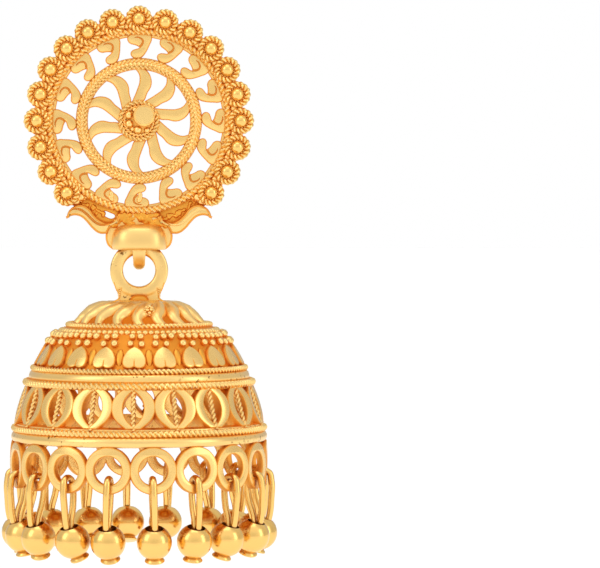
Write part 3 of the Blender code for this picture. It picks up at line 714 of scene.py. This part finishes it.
# %% The two S-shaped leaves
S_LEAF = (
    (-6.42, -8.68, "corner"), (-6.24, -8.00), (-5.65, -7.50), (-5.06, -7.42), (-4.38, -7.78),
    (-3.93, -8.36), (-3.39, -8.82), (-2.75, -9.05), (-2.03, -8.73), (-1.76, -8.32, "corner"),
    (-1.80, -8.77), (-2.12, -9.14), (-2.48, -9.36), (-2.84, -9.98, "corner"), (-3.52, -9.95),
    (-4.11, -9.54), (-4.66, -8.91), (-5.06, -8.54), (-5.56, -8.36), (-6.10, -8.45),
)


def mirrored(outline):
    return [(-point[0], *point[1:]) for point in outline]


S_LINE = (
    (-6.15, -8.02), (-5.74, -7.80), (-5.20, -7.84), (-4.66, -8.20), (-4.20, -8.66), (-3.65, -9.08),
    (-3.02, -9.20), (-2.48, -8.98),
)
S_THICK = 1.0
S_TAPER = (0.2, 0.6, 1, 1, 1, 1, 0.8, 0.2)
for side, outline, line in (("left", S_LEAF, S_LINE), ("right", mirrored(S_LEAF), mirrored(S_LINE))):
    leaf = sheet_cut(side + "_leaf", [outline], S_THICK, 0.20)
    engrave(leaf, S_THICK, line, 0.45, 0.25, S_TAPER)
    finished(lay_on_front(leaf, 0.08, S_THICK), "stud", CUT)

# %% [markdown]
# A half-round bead cap hangs under them, open below, with a flat collar behind it. It is turned on a lathe,
# inside and outside in one profile. Then every ring of it is made a little squarer, because its front is
# nearly flat.

# %% The cap and its collar
CAP_PROFILE = (
    (0.0, -9.12), (0.90, -9.14), (1.50, -9.20), (1.92, -9.36), (2.18, -9.64), (2.34, -10.02),
    (2.43, -10.50), (2.45, -11.00), (2.39, -11.26), (2.26, -11.39), (2.14, -11.34), (2.10, -11.00),
    (1.95, -10.60), (1.50, -10.36), (0.0, -10.32),
)
COLLAR = (
    (0.00, -7.90), (1.60, -7.95), (1.80, -8.50), (2.20, -8.98), (2.72, -9.30), (2.92, -9.80),
    (2.90, -10.70), (2.62, -11.16), (2.05, -11.38), (1.90, -11.00), (0.00, -10.20),
)
CAP_SQUARENESS = 2.7
COLLAR_THICK = 0.9
cap = turned_piece("cap", CAP_PROFILE, 64)
for corner in cap.data.vertices:
    reach = math.hypot(corner.co.x, corner.co.y)
    if reach > 0.01:
        sides = abs(corner.co.x / reach) ** CAP_SQUARENESS + abs(corner.co.y / reach) ** CAP_SQUARENESS
        corner.co.x *= sides ** (-1 / CAP_SQUARENESS)
        corner.co.y *= sides ** (-1 / CAP_SQUARENESS)
cap.data.transform(Matrix.Translation((0.0, AXIS_Y, 0.0)))
finished(cap, "stud", SATIN)
collar_outline = [*COLLAR, *mirrored(COLLAR[-2:0:-1])]
collar = sheet_cut("collar", [collar_outline], COLLAR_THICK, 0.18)
finished(lay_on_front(collar, -0.05, COLLAR_THICK), "stud", SATIN)

# %% [markdown]
# The corner between the rope, the leaves and the cap was closed with scraps of wax, so it is lumpy there. A
# thin web joins each leaf to the rope, with a slot left open in the left one. Grains of several sizes are
# strewn over the middle and along both webs. A voxel remesh fuses them, and smoothing melts them like warm
# wax. Four small flame-shaped leaves lie above them on the disc.

# %% Web and lumps over the cap
WEB = (
    (-5.70, -5.95, "corner"), (-4.80, -6.40), (-3.30, -7.16), (-1.50, -7.76, "corner"),
    (-1.40, -8.95, "corner"), (-2.66, -9.22), (-3.48, -9.08), (-4.12, -8.55), (-4.66, -8.02),
    (-5.40, -7.72), (-6.00, -7.40, "corner"),
)
SLOT_IN_WEB = ((-3.16, -8.06), (-2.50, -8.16), (-2.14, -8.42), (-2.34, -8.62), (-2.80, -8.54), (-3.10, -8.30))
WEB_THICK = 0.44
MIDDLE_LUMPS = 90
MIDDLE_TOP = -8.20
MIDDLE_FOOT = -9.30
MIDDLE_HIGH = 1.10
# The band between rope and leaf, as (x, z) on the left. Its last two places lie beside the slot.
WEB_BAND = (
    (-5.30, -7.00), (-4.70, -7.36), (-4.20, -7.70), (-3.75, -8.02), (-3.40, -8.22), (-2.80, -8.40),
    (-2.30, -8.50),
)
BESIDE_SLOT = 5
LUMPS_A_PLACE = 4
VOXEL = 0.05
webs = [
    sheet_cut("left web", [WEB, SLOT_IN_WEB], WEB_THICK, SOFT_EDGE),
    sheet_cut("right web", [mirrored(WEB)], WEB_THICK, SOFT_EDGE),
]
finished(lay_on_front(join("leaf_webs", webs), 0.10, WEB_THICK), "stud", SHADED_GROUND)

lumps = []
for _ in range(MIDDLE_LUMPS):
    wide = random.uniform(-1.0, 1.0)
    z = random.uniform(MIDDLE_TOP, MIDDLE_FOOT)
    reach = between(1.55, 2.45, (MIDDLE_TOP - z) / MIDDLE_HIGH)
    place = Vector((wide * reach, -0.62 - random.uniform(0.0, 0.16), z))
    lumps.append((place, random.uniform(0.18, 0.34)))
for side in (-1, 1):
    for number, (x, z) in enumerate(WEB_BAND):
        open_slot = side < 0 and number >= BESIDE_SLOT
        for _ in range(0 if open_slot else LUMPS_A_PLACE):
            drift = Vector((random.uniform(-0.26, 0.26), 0.0, random.uniform(-0.24, 0.24)))
            lumps.append((Vector((-side * x, -0.50, z)) + drift, random.uniform(0.14, 0.24)))
wax = grains("cap_lumps", lumps)
fuse = wax.modifiers.new("fuse", "REMESH")
fuse.mode = "VOXEL"
fuse.voxel_size = VOXEL
melt = wax.modifiers.new("melt", "SMOOTH")
melt.factor = 0.6
melt.iterations = 4
apply_all(wax)
finished(wax, "stud", SHADED_GROUND, 80)

# Right, up and lean of each flame
FLAMES = ((0.10, -6.62, 0.0), (0.05, -6.95, 0.5), (-2.42, -6.52, -0.2), (-2.48, -6.86, -0.7))
FLAME_SIZE = (0.22, 0.16, 0.36, 1.0)


def pebble(name, size):
    """A grain stretched to an ellipsoid."""
    piece = grains(name, [(Vector((0.0, 0.0, 0.0)), 1.0)])
    piece.data.transform(Matrix.Diagonal(size))
    return piece


flames = []
for x, z, lean in FLAMES:
    flame = pebble("flame", FLAME_SIZE)
    flame.data.transform(Matrix.Translation((x, -0.74, z)) @ Matrix.Rotation(lean, 4, "Y"))
    flames.append(flame)
finished(join("flame_leaves", flames), "stud", SATIN)

# %% [markdown]
# A strap comes down from inside the cap, passes under the bell's ring and goes up again behind it. That
# holds the bell, and lets it swing. The strap is a soft-cornered section drawn down, spun round the bend and
# drawn up again. Then its lower end is narrowed and rounded, as bent metal is where a ring has worn it.

# %% The hanging strap
STRAP_REACH = 1.30
STRAP_WIDE = 1.38
STRAP_THICK = 1.00
STRAP_TOP = -10.10
STRAP_CORNER = 0.24
STRAP_FOOT = -12.52
FOOT_WIDE = 0.76
TAPER_FROM = 0.3
TAPER_HIGH = 1.2
FOOT_SAG = 0.10
ROUND_FROM = -12.70
bend_z = STRAP_FOOT + STRAP_REACH
leg = (0.0, 0.0, (bend_z - STRAP_TOP) / 2)
start()
bpy.ops.mesh.primitive_plane_add(size=1.0, location=(0.0, AXIS_Y - STRAP_REACH, STRAP_TOP))
strap = named("strap")
bpy.ops.object.transform_apply()
bpy.ops.object.mode_set(mode="EDIT")
bpy.ops.transform.resize(value=(STRAP_WIDE, STRAP_THICK, 1.0))
bpy.ops.mesh.bevel(offset=STRAP_CORNER, segments=3, affect="VERTICES")
for _ in range(2):
    draw_out(leg)
bpy.ops.mesh.spin(steps=16, angle=math.pi, center=(0.0, AXIS_Y, bend_z), axis=(-1.0, 0.0, 0.0))
draw_out((0.0, 0.0, STRAP_TOP - bend_z))
bpy.ops.object.mode_set(mode="OBJECT")
weld(strap)
for corner in strap.data.vertices:
    if corner.co.z < bend_z + TAPER_FROM:
        corner.co.x *= between(1.0, FOOT_WIDE, min(1.0, (bend_z + TAPER_FROM - corner.co.z) / TAPER_HIGH))
        corner.co.z -= FOOT_SAG * max(0.0, bend_z - corner.co.z) / STRAP_REACH
        fallen = max(0.0, ROUND_FROM - corner.co.z) / (STRAP_THICK / 2)
        corner.co.x *= math.sqrt(1.0 - min(0.9, fallen**2))
finished(strap, "stud", SATIN)

# %% [markdown]
# The post at the back is plain: a straight pin with a round foot and a groove near its tip for the clasp.

# %% The post
POST = (
    (0.0, 0.0), (1.45, 0.0), (1.50, 0.10), (1.50, 0.32), (1.42, 0.40), (0.62, 0.40), (0.45, 0.56),
    (0.45, 8.9), (0.37, 9.1), (0.37, 9.5), (0.45, 9.7), (0.45, 10.2), (0.30, 10.52), (0.0, 10.6),
)
post = turned_piece("post", POST, 32)
post.data.transform(Matrix.Rotation(-math.pi / 2, 4, "X"))
finished(post, "stud", BRIGHT)
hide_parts("ear_post")

# %% [markdown]
# The bell starts as one turned shell. Its profile gives the radius at each height, from the top to the row of
# ovals and back up inside. Any ornament on the dome is placed by how high it sits on this profile. The dome
# is a ground that ornaments hide, so it gets painted shade: strongly under the ribs, less lower down. A plain
# round band closes it below.

# %% The bell's dome
DOME = (
    (1.60, -15.98), (2.60, -16.16), (3.40, -16.46), (4.33, -16.84), (5.07, -17.40), (5.38, -17.78),
    (5.72, -17.98), (6.45, -18.12), (6.62, -18.32), (7.05, -18.62), (7.60, -19.15), (8.18, -19.95),
    (8.66, -20.80), (9.00, -21.50), (9.25, -21.85), (9.50, -22.10), (9.66, -22.25), (9.72, -22.45),
    (9.66, -22.65), (9.85, -22.85), (10.02, -23.10), (9.98, -23.40),
)


def dome_at(z):
    """Radius of the dome at a height, and how it leans: a unit vector (outwards, upwards)."""
    for (low_r, low_z), (high_r, high_z) in zip(DOME[1:], DOME):
        if low_z <= z <= high_z:
            share = (z - low_z) / (high_z - low_z)
            lean = Vector((high_z - low_z, low_r - high_r)).normalized()
            return between(low_r, high_r, share), lean
    return DOME[-1][0], Vector((1.0, 0.0))


def on_dome(turn, z, lift=0.0):
    """A point on the dome, turn radians round from the front towards the right."""
    radius, lean = dome_at(z)
    out = radius + lift * lean.x
    return Vector((out * math.sin(turn), AXIS_Y - out * math.cos(turn), z + lift * lean.y))


def upright_turned(name, profile, sides=144):
    """Turns a list of (radius, z) round the bell's axis."""
    piece = turned_piece(name, profile, sides)
    piece.data.transform(Matrix.Translation((0.0, AXIS_Y, 0.0)))
    return piece


INSIDE_TOP = (0.0, -16.35)
RIBS_FOOT = -17.99
# Shares of painted shade on the dome: under the ribs and, lower down, under the petals.
SHADE_UNDER_RIBS = 0.9
SHADE_UNDER_PETALS = 0.5
PLAIN_BAND = (
    (9.1, -22.0), (9.52, -22.04), (9.66, -22.18), (9.76, -22.42), (9.78, -22.62), (9.70, -22.80),
    (9.1, -22.85),
)
inside = [(radius - BELL_WALL, z - 0.05 * (radius < 9)) for radius, z in DOME[:1:-1]]
shell = upright_turned("dome", [*DOME, *inside, INSIDE_TOP])
marks = shell.data.attributes.new("painted_shade_mark", "FLOAT", "FACE")
for face in shell.data.polygons:
    marks.data[face.index].value = SHADE_UNDER_RIBS if face.center.z > RIBS_FOOT else SHADE_UNDER_PETALS
finished(shell, "bell", SHADED_GROUND)
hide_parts("bell")
finished(upright_turned("plain_band", [*PLAIN_BAND, PLAIN_BAND[0]]), "bell", PITTED)

# %% [markdown]
# Four ropes of twisted wire run round the bell, each at its own height and radius.

# %% Ropes round the bell
# Name, radius, height, width and length of one twist
BELL_ROPES = (
    ("rope_under_ribs", 6.28, -18.00, 0.54, 0.40),
    ("rope_under_petals", 9.40, -21.80, 0.54, 0.42),
    ("rope_over_ovals", 10.02, -23.06, 0.66, 0.48),
    ("rope_under_ovals", 11.06, -27.10, 0.62, 0.46),
)
for name, radius, z, wide, pitch in BELL_ROPES:
    rope = rope_ring(name, radius, wide, pitch)
    rope.data.transform(Matrix.Translation((0.0, AXIS_Y, z)))
    finished(rope, "bell", CAST)

# %% [markdown]
# Under the highest rope runs a string of grains, laid side by side as in pearled wire.

# %% The string of grains
STRING_RADIUS = 6.90
STRING_Z = -18.54
STRING_GRAINS = 84
string = []
for number in range(STRING_GRAINS):
    turn = number * FULL_TURN / STRING_GRAINS
    spot = Vector((STRING_RADIUS * math.sin(turn), AXIS_Y - STRING_RADIUS * math.cos(turn), STRING_Z))
    string.append((spot, random.uniform(0.26, 0.31)))
finished(grains("string_of_grains", string), "bell", CAST, 60)

# %% [markdown]
# Eighteen swirling ribs cover the crown, each one fat in the middle and thin at its ends, like a comma. A
# rib is a wire whose thickness changes along its way, sunk halfway into the dome. It sweeps down to the left
# and hooks back at its foot, and deep orange pockets stay open between the feet. One curl of fine twisted
# wire round three grains lies on them, a little right of the front.

# %% The swirled ribs of the crown
RIBS = 18
# Turn in degrees, height, lift off the dome, and half the rib's width there
RIB_PATH = (
    (25.0, -16.18, -0.14, 0.28),
    (17.0, -16.26, -0.16, 0.52),
    (9.0, -16.44, -0.20, 0.74),
    (2.0, -16.80, -0.20, 0.76),
    (-2.4, -17.24, -0.12, 0.60),
    (-2.0, -17.66, -0.04, 0.46),
    (0.6, -17.97, -0.08, 0.38),
)
CURL_TURN = math.radians(10.6)
CURL_GRAINS = ((-0.16, 0.10, 0.02, 0.17), (0.16, 0.12, 0.02, 0.17), (0.02, -0.17, 0.02, 0.18))


def around_bell(name, piece, count, first_turn):
    """Copies a piece round the bell and joins the copies."""
    copies = []
    for number in range(count):
        turn = first_turn + number * FULL_TURN / count
        copies.append(copy_of(piece, f"{name} {number}", round_bell(turn)))
    delete(piece)
    return join(name, copies)


path = [on_dome(math.radians(turn), z, lift) for turn, z, lift, _ in RIB_PATH]
rib = wire_along("rib", path, 2.0, [half for *_, half in RIB_PATH])
finished(around_bell("crown_ribs", rib, RIBS, math.radians(1.0)), "bell", SATIN, 60)
curl_ring = rope_ring("curl ring", 0.36, 0.30, 0.24)
curl = join("crown_curl", [curl_ring, grains_from("curl grains", CURL_GRAINS)])
spot = on_dome(CURL_TURN, -16.98, 0.36)
curl.data.transform(Matrix.Translation(spot) @ Matrix.Rotation(CURL_TURN, 4, "Z") @ UP_TO_FRONT)
finished(curl, "bell", CAST)

# %% [markdown]
# Twenty-one flat petals stand below, pointed on top and notched at the foot, with a small leaf sunk in the
# ground between every two. A petal is cut flat, gets an engraved vein and is laid against the dome.

# %% The ring of petals
PETALS = 21
PETAL_TURN = math.radians(-2.8)
PETAL_TOP = -19.70
PETAL_THICK = 0.42
PETAL = (
    (0.0, 0.0, "corner"), (0.54, 0.34), (0.88, 0.84), (1.03, 1.36), (0.95, 1.88), (0.66, 2.10),
    (0.28, 2.12), (0.0, 1.98, "corner"),
)


def whole(half):
    """Mirrors half an outline about its upright middle line, and turns it to run downwards."""
    other = [(-point[0], *point[1:]) for point in half[::-1] if point[0] > 0]
    return [(point[0], -point[1], *point[2:]) for point in (*half, *other)]


def lean_on_bell(cell, thick, top_radius, foot_radius, top, height):
    """Stands a flat cell upright at the front of the bell, leaning from one radius to another."""
    lean = math.atan2(foot_radius - top_radius, height)
    place = Matrix.Translation((0.0, AXIS_Y - top_radius + thick / 2, top))
    cell.data.transform(place @ Matrix.Rotation(-lean, 4, "X") @ UP_TO_FRONT)
    return cell


VEIN = ((0.0, -2.15), (0.0, -1.8), (0.0, -1.45), (0.0, -1.1))
petal = sheet_cut("petal", [whole(PETAL)], PETAL_THICK, LEAF_EDGE)
engrave(petal, PETAL_THICK, VEIN, 0.24, 0.16, (1.2, 0.9, 0.7, 0.2))
lean_on_bell(petal, PETAL_THICK, 8.34, 9.36, PETAL_TOP, 1.86)
finished(around_bell("petals", petal, PETALS, PETAL_TURN), "bell", CUT, 30)

SMALL_LEAF_SIZE = (0.36, 0.85, 0.16, 1.0)
small_leaf = pebble("small leaf", SMALL_LEAF_SIZE)
small_leaf.data.transform(Matrix.Translation((0.0, -1.0, 0.0)))
lean_on_bell(small_leaf, 0.0, 8.10, 9.02, PETAL_TOP, 1.8)
gap_turn = PETAL_TURN + math.pi / PETALS
finished(around_bell("small_leaves", small_leaf, PETALS, gap_turn), "bell", SHADED_GROUND, 60)

# %% [markdown]
# Grains sit over each petal in two rows, and the lower two flank its tip. Most gaps between the petals get a
# fifth one. Their places differ a little from petal to petal, since each was set by hand.

# %% Grains over the petals
# Across and height of each grain
PETAL_GRAINS = ((-0.36, -18.98), (0.34, -18.96), (-0.50, -19.52), (0.46, -19.54))
GAP_GRAIN = (1.02, -18.94)
GAPS_FILLED = 0.8
random.seed(23)
places = []
for number in range(PETALS):
    turn = PETAL_TURN + number * FULL_TURN / PETALS
    drift = random.uniform(-0.16, 0.16)
    filled = random.random() < GAPS_FILLED
    for across, z in (*PETAL_GRAINS, GAP_GRAIN) if filled else PETAL_GRAINS:
        radius, _ = dome_at(z)
        spot = on_dome(turn + (across + drift) / radius, z + random.uniform(-0.04, 0.04), 0.20)
        places.append((spot, random.uniform(0.29, 0.35)))
finished(grains("crown_grains", places), "bell", CAST, 60)

# %% [markdown]
# The row of ovals is made of flat cells, one beside the other, each touching the round of the bell at its
# middle. A cell is cut flat, laid against the bell and copied eighteen times. A twisted bar stands in it.

# %% The row of ovals
OVALS = 18
OVAL_TURN = math.radians(-2.8)
OVAL_THICK = 1.06
OVAL_HIGH = 3.4
OVAL = (
    (0.0, -0.20, "corner"), (0.80, -0.10, "corner"), (1.28, 0.32), (1.70, 0.84), (1.88, 1.42),
    (1.89, 1.85), (1.78, 2.34), (1.50, 2.82), (1.05, 3.25), (0.62, 3.58, "corner"),
)
SLOT = (
    (0.0, 0.16, "corner"), (0.42, 0.52), (0.76, 1.02), (0.90, 1.60), (0.86, 2.14), (0.56, 2.78),
    (0.0, 3.36, "corner"),
)
cell = sheet_cut("oval", [whole(OVAL), whole(SLOT)], OVAL_THICK, 0.09)
lean_on_bell(cell, OVAL_THICK, 10.04, 11.10, OVAL_TOP - 0.05, OVAL_HIGH)
finished(around_bell("ovals", cell, OVALS, OVAL_TURN), "bell", CUT)

bar = capped(twisted_wire("bar", 3.75, 0.50, 9, steps_a_twist=5))
bar_lean = Matrix.Rotation(-math.atan2(11.00 - 9.98, OVAL_HIGH), 4, "X")
bar_middle = Matrix.Translation((0.0, AXIS_Y - 10.42, OVAL_TOP - OVAL_HIGH / 2))
bar.data.transform(bar_middle @ bar_lean @ Matrix.Rotation(math.pi / 2, 4, "Y"))
finished(around_bell("oval_bars", bar, OVALS, OVAL_TURN), "bell", SATIN)

# %% [markdown]
# A smooth belt closes the bell below the ovals. Under it hangs the rim, a row of flat rings.

# %% The belt and the rim rings
BELT = (
    (10.55, -26.55), (10.95, -26.72), (10.98, -27.35), (11.20, -27.50), (11.33, -27.75), (11.33, -28.00),
    (11.20, -28.22), (10.90, -28.30), (10.55, -28.20), (10.50, -27.40),
)
RIM_OUTER = 2.05
RIM_HOLE = 1.23
RIM_THICK = 0.60
finished(upright_turned("belt", [*BELT, BELT[0]]), "bell", PITTED)
rim_outlines = [circle(radius, 16, 0.0, -RIM_OUTER) for radius in (RIM_OUTER, RIM_HOLE)]
rim_ring = sheet_cut("rim", rim_outlines, RIM_THICK, LEAF_EDGE)
lean_on_bell(rim_ring, RIM_THICK, BELL_RADIUS, BELL_RADIUS, RIM_CENTRE + RIM_OUTER, 4.0)
finished(around_bell("rim_rings", rim_ring, RINGS, RING_TURN), "bell", CUT)

# %% [markdown]
# The bell hangs by a flat ring with soft edges. A web widens it below to a low foot on the crown, with five
# short wires on each side and a blob of solder in front. The web is a hair thinner than the ring, so that no
# two faces lie in one plane.

# %% The bail ring and its foot
BAIL = (
    (1.42, -0.28), (1.42, 0.28), (1.48, 0.42), (1.62, 0.52), (2.38, 0.52), (2.51, 0.45), (2.57, 0.30),
    (2.57, -0.30), (2.51, -0.45), (2.38, -0.52), (1.62, -0.52), (1.48, -0.42),
)
BAIL_FOOT = ((0.0, -16.4), (2.7, -16.4), (2.4, -16.05), (1.9, -15.86), (0.0, -15.8))
FOOT_WEB = (
    (0.0, -14.95), (1.30, -14.62), (1.95, -14.15), (2.28, -14.22, "corner"), (2.12, -14.80),
    (1.90, -15.24), (1.75, -15.54), (1.95, -15.78), (2.50, -16.00, "corner"), (0.0, -16.20),
)
ARCH = (
    (-0.78, -16.05, "corner"), (-0.76, -15.70), (-0.42, -15.42), (0.06, -15.36), (0.52, -15.44),
    (0.82, -15.72), (0.84, -16.05, "corner"),
)
BAIL_FRONT = 0.52
NOTCHES = 5
NOTCH_STEP = -0.20


def stood_in_bell(piece, front, height=0.0):
    """Stands a flat piece upright, front millimetres in front of the bell's axis."""
    piece.data.transform(Matrix.Translation((0.0, AXIS_Y - front, height)) @ UP_TO_FRONT)
    return piece


bail = stood_in_bell(turned_piece("bail", [*BAIL, BAIL[0]], 72), 0.0, BAIL_CENTRE)
finished(upright_turned("bail_foot", BAIL_FOOT, 48), "bell", CAST)
web = sheet_cut("foot web", [[*FOOT_WEB, *mirrored(FOOT_WEB[-2:0:-1])]], 1.01, LEAF_EDGE)
finished(join("bail", [bail, stood_in_bell(web, 0.0)]), "bell", PITTED)
arch = sheet_cut("solder_arch", [ARCH], 0.9, 0.16)
finished(stood_in_bell(arch, 0.80), "bell", SHADED_GROUND)
notches = []
for side in (-1, 1):
    for step in range(NOTCHES):
        drop = NOTCH_STEP * step
        inner = (side * (1.52 + 0.06 * step), AXIS_Y - BAIL_FRONT, -14.75 + drop)
        outer = (side * (1.96 - 0.03 * step), AXIS_Y - BAIL_FRONT, -14.92 + drop)
        notches.append(wire_along(f"notch {side} {step}", [inner, outer], 0.15))
finished(join("foot_twist", notches), "bell", CAST)

# %% [markdown]
# Eighteen bent wires hang in the rim, and each carries a hollow bead. A wire is a curve with a round
# section. The bead is turned, with the hole where the wire goes in and a small flared foot, set on askew.
# Each drop hangs turned a few degrees about its wire's root, some to the left and some to the right.

# %% Wires and beads in the rim
WIRE_THICK = 0.60
BEAD_RADIUS = 1.53
BEAD_BELOW = 4.59
BEAD_INSET = 0.29
BEAD_LEAN = math.radians(18)
BORE_RADIUS = 0.78
BEAD_TOP = math.sqrt(BEAD_RADIUS**2 - BORE_RADIUS**2)
BEAD_INSIDE = ((0.0, -0.9), (0.72, -0.6), (1.05, 0.1), (1.0, 0.75), (0.80, 1.10))
BEAD_MOUTH = (BORE_RADIUS, BEAD_TOP - 0.06)
BEAD_ANGLES = (31.5, 38, 48, 60, 72, 84, 96, 108, 120, 132, 144, 154, 160)
BEAD_UNDER = ((0.30, -1.50), (0.0, -1.52))
# Radius, and how far below the bead's middle
BEAD_FOOT = ((0.0, 1.25), (0.62, 1.28), (0.70, 1.42), (0.84, 1.55), (0.87, 1.66), (0.80, 1.76), (0.0, 1.84))
ROOT_RADIUS = 11.01
MOST_SWING = math.radians(3.2)


def drop_frame(number):
    turn = RING_TURN + number * FULL_TURN / RINGS
    outwards = Vector((math.sin(turn), -math.cos(turn), 0.0))
    sideways = Vector((math.cos(turn), math.sin(turn), 0.0))
    root = Vector((0.0, AXIS_Y, RIM_CENTRE - RIM_HOLE - 0.39)) + outwards * ROOT_RADIUS
    place = Matrix((outwards, sideways, Vector((0.0, 0.0, 1.0)))).transposed().to_4x4()
    swing = MOST_SWING * math.sin(2.4 * number + 0.6)
    return Matrix.Translation(root) @ place @ Matrix.Rotation(swing, 4, "X")


def hairpin(bead):
    """A wire that comes up out of the bead, bends over in the rim ring and goes down again."""
    beside = WIRE_THICK / 2 + 0.05
    points = [
        bead @ Vector((beside - 0.08, 0.0, BEAD_TOP - 0.90)),
        bead @ Vector((beside, 0.0, BEAD_TOP + 0.10)),
        Vector((0.70, 0.0, -1.6)),
        Vector((0.70, 0.0, 0.1)),
        Vector((0.45, 0.0, 0.76)),
        Vector((-0.45, 0.0, 0.76)),
        Vector((-0.70, 0.0, 0.1)),
        Vector((-0.60, 0.0, -1.5)),
        bead @ Vector((-beside + 0.02, 0.0, BEAD_TOP + 0.10)),
        bead @ Vector((-beside + 0.22, 0.0, BEAD_TOP - 0.90)),
    ]
    return wire_along("hairpin", points, WIRE_THICK)


bead_frame = Matrix.Translation((-BEAD_INSET, 0.0, -BEAD_BELOW)) @ Matrix.Rotation(BEAD_LEAN, 4, "Y")
angles = [math.radians(degrees) for degrees in BEAD_ANGLES]
bead_outside = [(BEAD_RADIUS * math.sin(angle), BEAD_RADIUS * math.cos(angle)) for angle in angles]
bead_seed = turned_piece("bead", [*BEAD_INSIDE, BEAD_MOUTH, *bead_outside, *BEAD_UNDER], 40)
foot_seed = turned_piece("bead foot", [(radius, -below) for radius, below in BEAD_FOOT], 32)
wire_seed = hairpin(bead_frame)
for number in range(RINGS):
    stand = drop_frame(number) @ bead_frame
    ball = copy_of(bead_seed, "ball", stand)
    foot = copy_of(foot_seed, "foot", stand @ askew(9.0))
    bead = join(f"bead_{number + 1:02d}", [ball, foot])
    finished(bead, "bell", BRIGHT)
    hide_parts(f"drop_bead_{number + 1:02d}")
    wire = copy_of(wire_seed, f"wire_{number + 1:02d}", drop_frame(number))
    finished(wire, "bell", BRIGHT)
    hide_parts(f"drop_link_{number + 1:02d}")
delete(bead_seed, foot_seed, wire_seed)

# %% [markdown]
# The earring hangs over a pale tabletop in a bright tent. Gold shows what is round it, so the tent is white
# in front, grey behind and brightest overhead, and three large panels add their light. To the camera itself
# the tent looks plain white.

# %% Table and light
WHITE = (1.0, 1.0, 1.0, 1.0)
TABLE = {
    "Base Color": (0.92, 0.92, 0.91, 1.0),
    "Roughness": 0.7,
    "Emission Color": WHITE,
    "Emission Strength": 0.26,
}
# Each stop is the share of the way from front to back or from below to above, and the grey there
AROUND = (
    (0.0, 0.86), (0.03, 0.88), (0.09, 0.96), (0.28, 0.98), (0.40, 0.76), (0.52, 0.64), (0.66, 0.72),
    (1.0, 0.60),
)
OVERHEAD = ((0.0, 0.95), (0.45, 0.97), (0.60, 1.0), (0.80, 1.10), (1.0, 1.10))
start()
bpy.ops.mesh.primitive_plane_add(size=6.0, location=(0.0, 1.0, -0.075))
table = named("tabletop")
pale = bpy.data.materials.new("pale tabletop")
pale.use_nodes = True
feed(pale.node_tree, pale.node_tree.nodes["Principled BSDF"], TABLE)
table.data.materials.append(pale)

world = bpy.data.worlds.new("light tent")
bpy.context.scene.world = world
world.use_nodes = True
tent = world.node_tree


def bands(way, stops):
    """Grey bands along one direction of the tent."""
    ramp = add_node(tent, "ValToRGB", {"Fac": mapped(tent, way, -1.0, 1.0)})
    ramp.color_ramp.interpolation = "EASE"
    for place, bright in stops[1:-1]:
        ramp.color_ramp.elements.new(place).color = (bright, bright, bright, 1.0)
    for end in (0, -1):
        place, bright = stops[end]
        ramp.color_ramp.elements[end].position = place
        ramp.color_ramp.elements[end].color = (bright, bright, bright, 1.0)
    return ramp.outputs["Color"]


direction = add_node(tent, "TexCoord", {}).outputs["Generated"]
ways = add_node(tent, "SeparateXYZ", {"Vector": direction}).outputs
tone = colour_mix(tent, 1.0, bands(ways["Y"], AROUND), bands(ways["Z"], OVERHEAD), "MULTIPLY")
seen = add_node(tent, "LightPath", {}).outputs["Is Camera Ray"]
feed(tent, tent.nodes["Background"], {"Color": colour_mix(tent, seen, tone, WHITE)})


def panel(name, place, size, power):
    bpy.ops.object.light_add(type="AREA", location=place)
    light = bpy.context.object
    light.name = name
    light.data.shape = "RECTANGLE"
    light.data.size, light.data.size_y = size
    light.data.energy = power
    aim = Vector((0.0, 0.0, -0.02)) - Vector(place)
    light.rotation_euler = aim.to_track_quat("-Z", "Y").to_euler()


panel("left panel", (-0.35, -0.22, 0.22), (0.20, 0.30), 0.24)
panel("right panel", (0.38, -0.20, 0.10), (0.14, 0.30), 0.18)
panel("top panel", (0.0, -0.10, 0.42), (0.30, 0.20), 0.22)

# %% [markdown]
# The camera stands straight in front, a little above the middle of the earring, with a long lens. It is
# turned a little to the right, so the earring hangs in the left half of the picture.

# %% Camera
eye = Vector((0.0, -0.355, -0.00559))
aim_at = Vector((0.01428, 0.0, -0.01446))
start()
bpy.ops.object.camera_add(location=eye)
camera = bpy.context.object
camera.rotation_euler = (aim_at - eye).to_track_quat("-Z", "Y").to_euler()
camera.data.lens = 240.0
camera.data.sensor_width = 36.0
camera.data.clip_start = 0.01
bpy.context.scene.camera = camera
bpy.context.scene.view_settings.view_transform = "Standard"
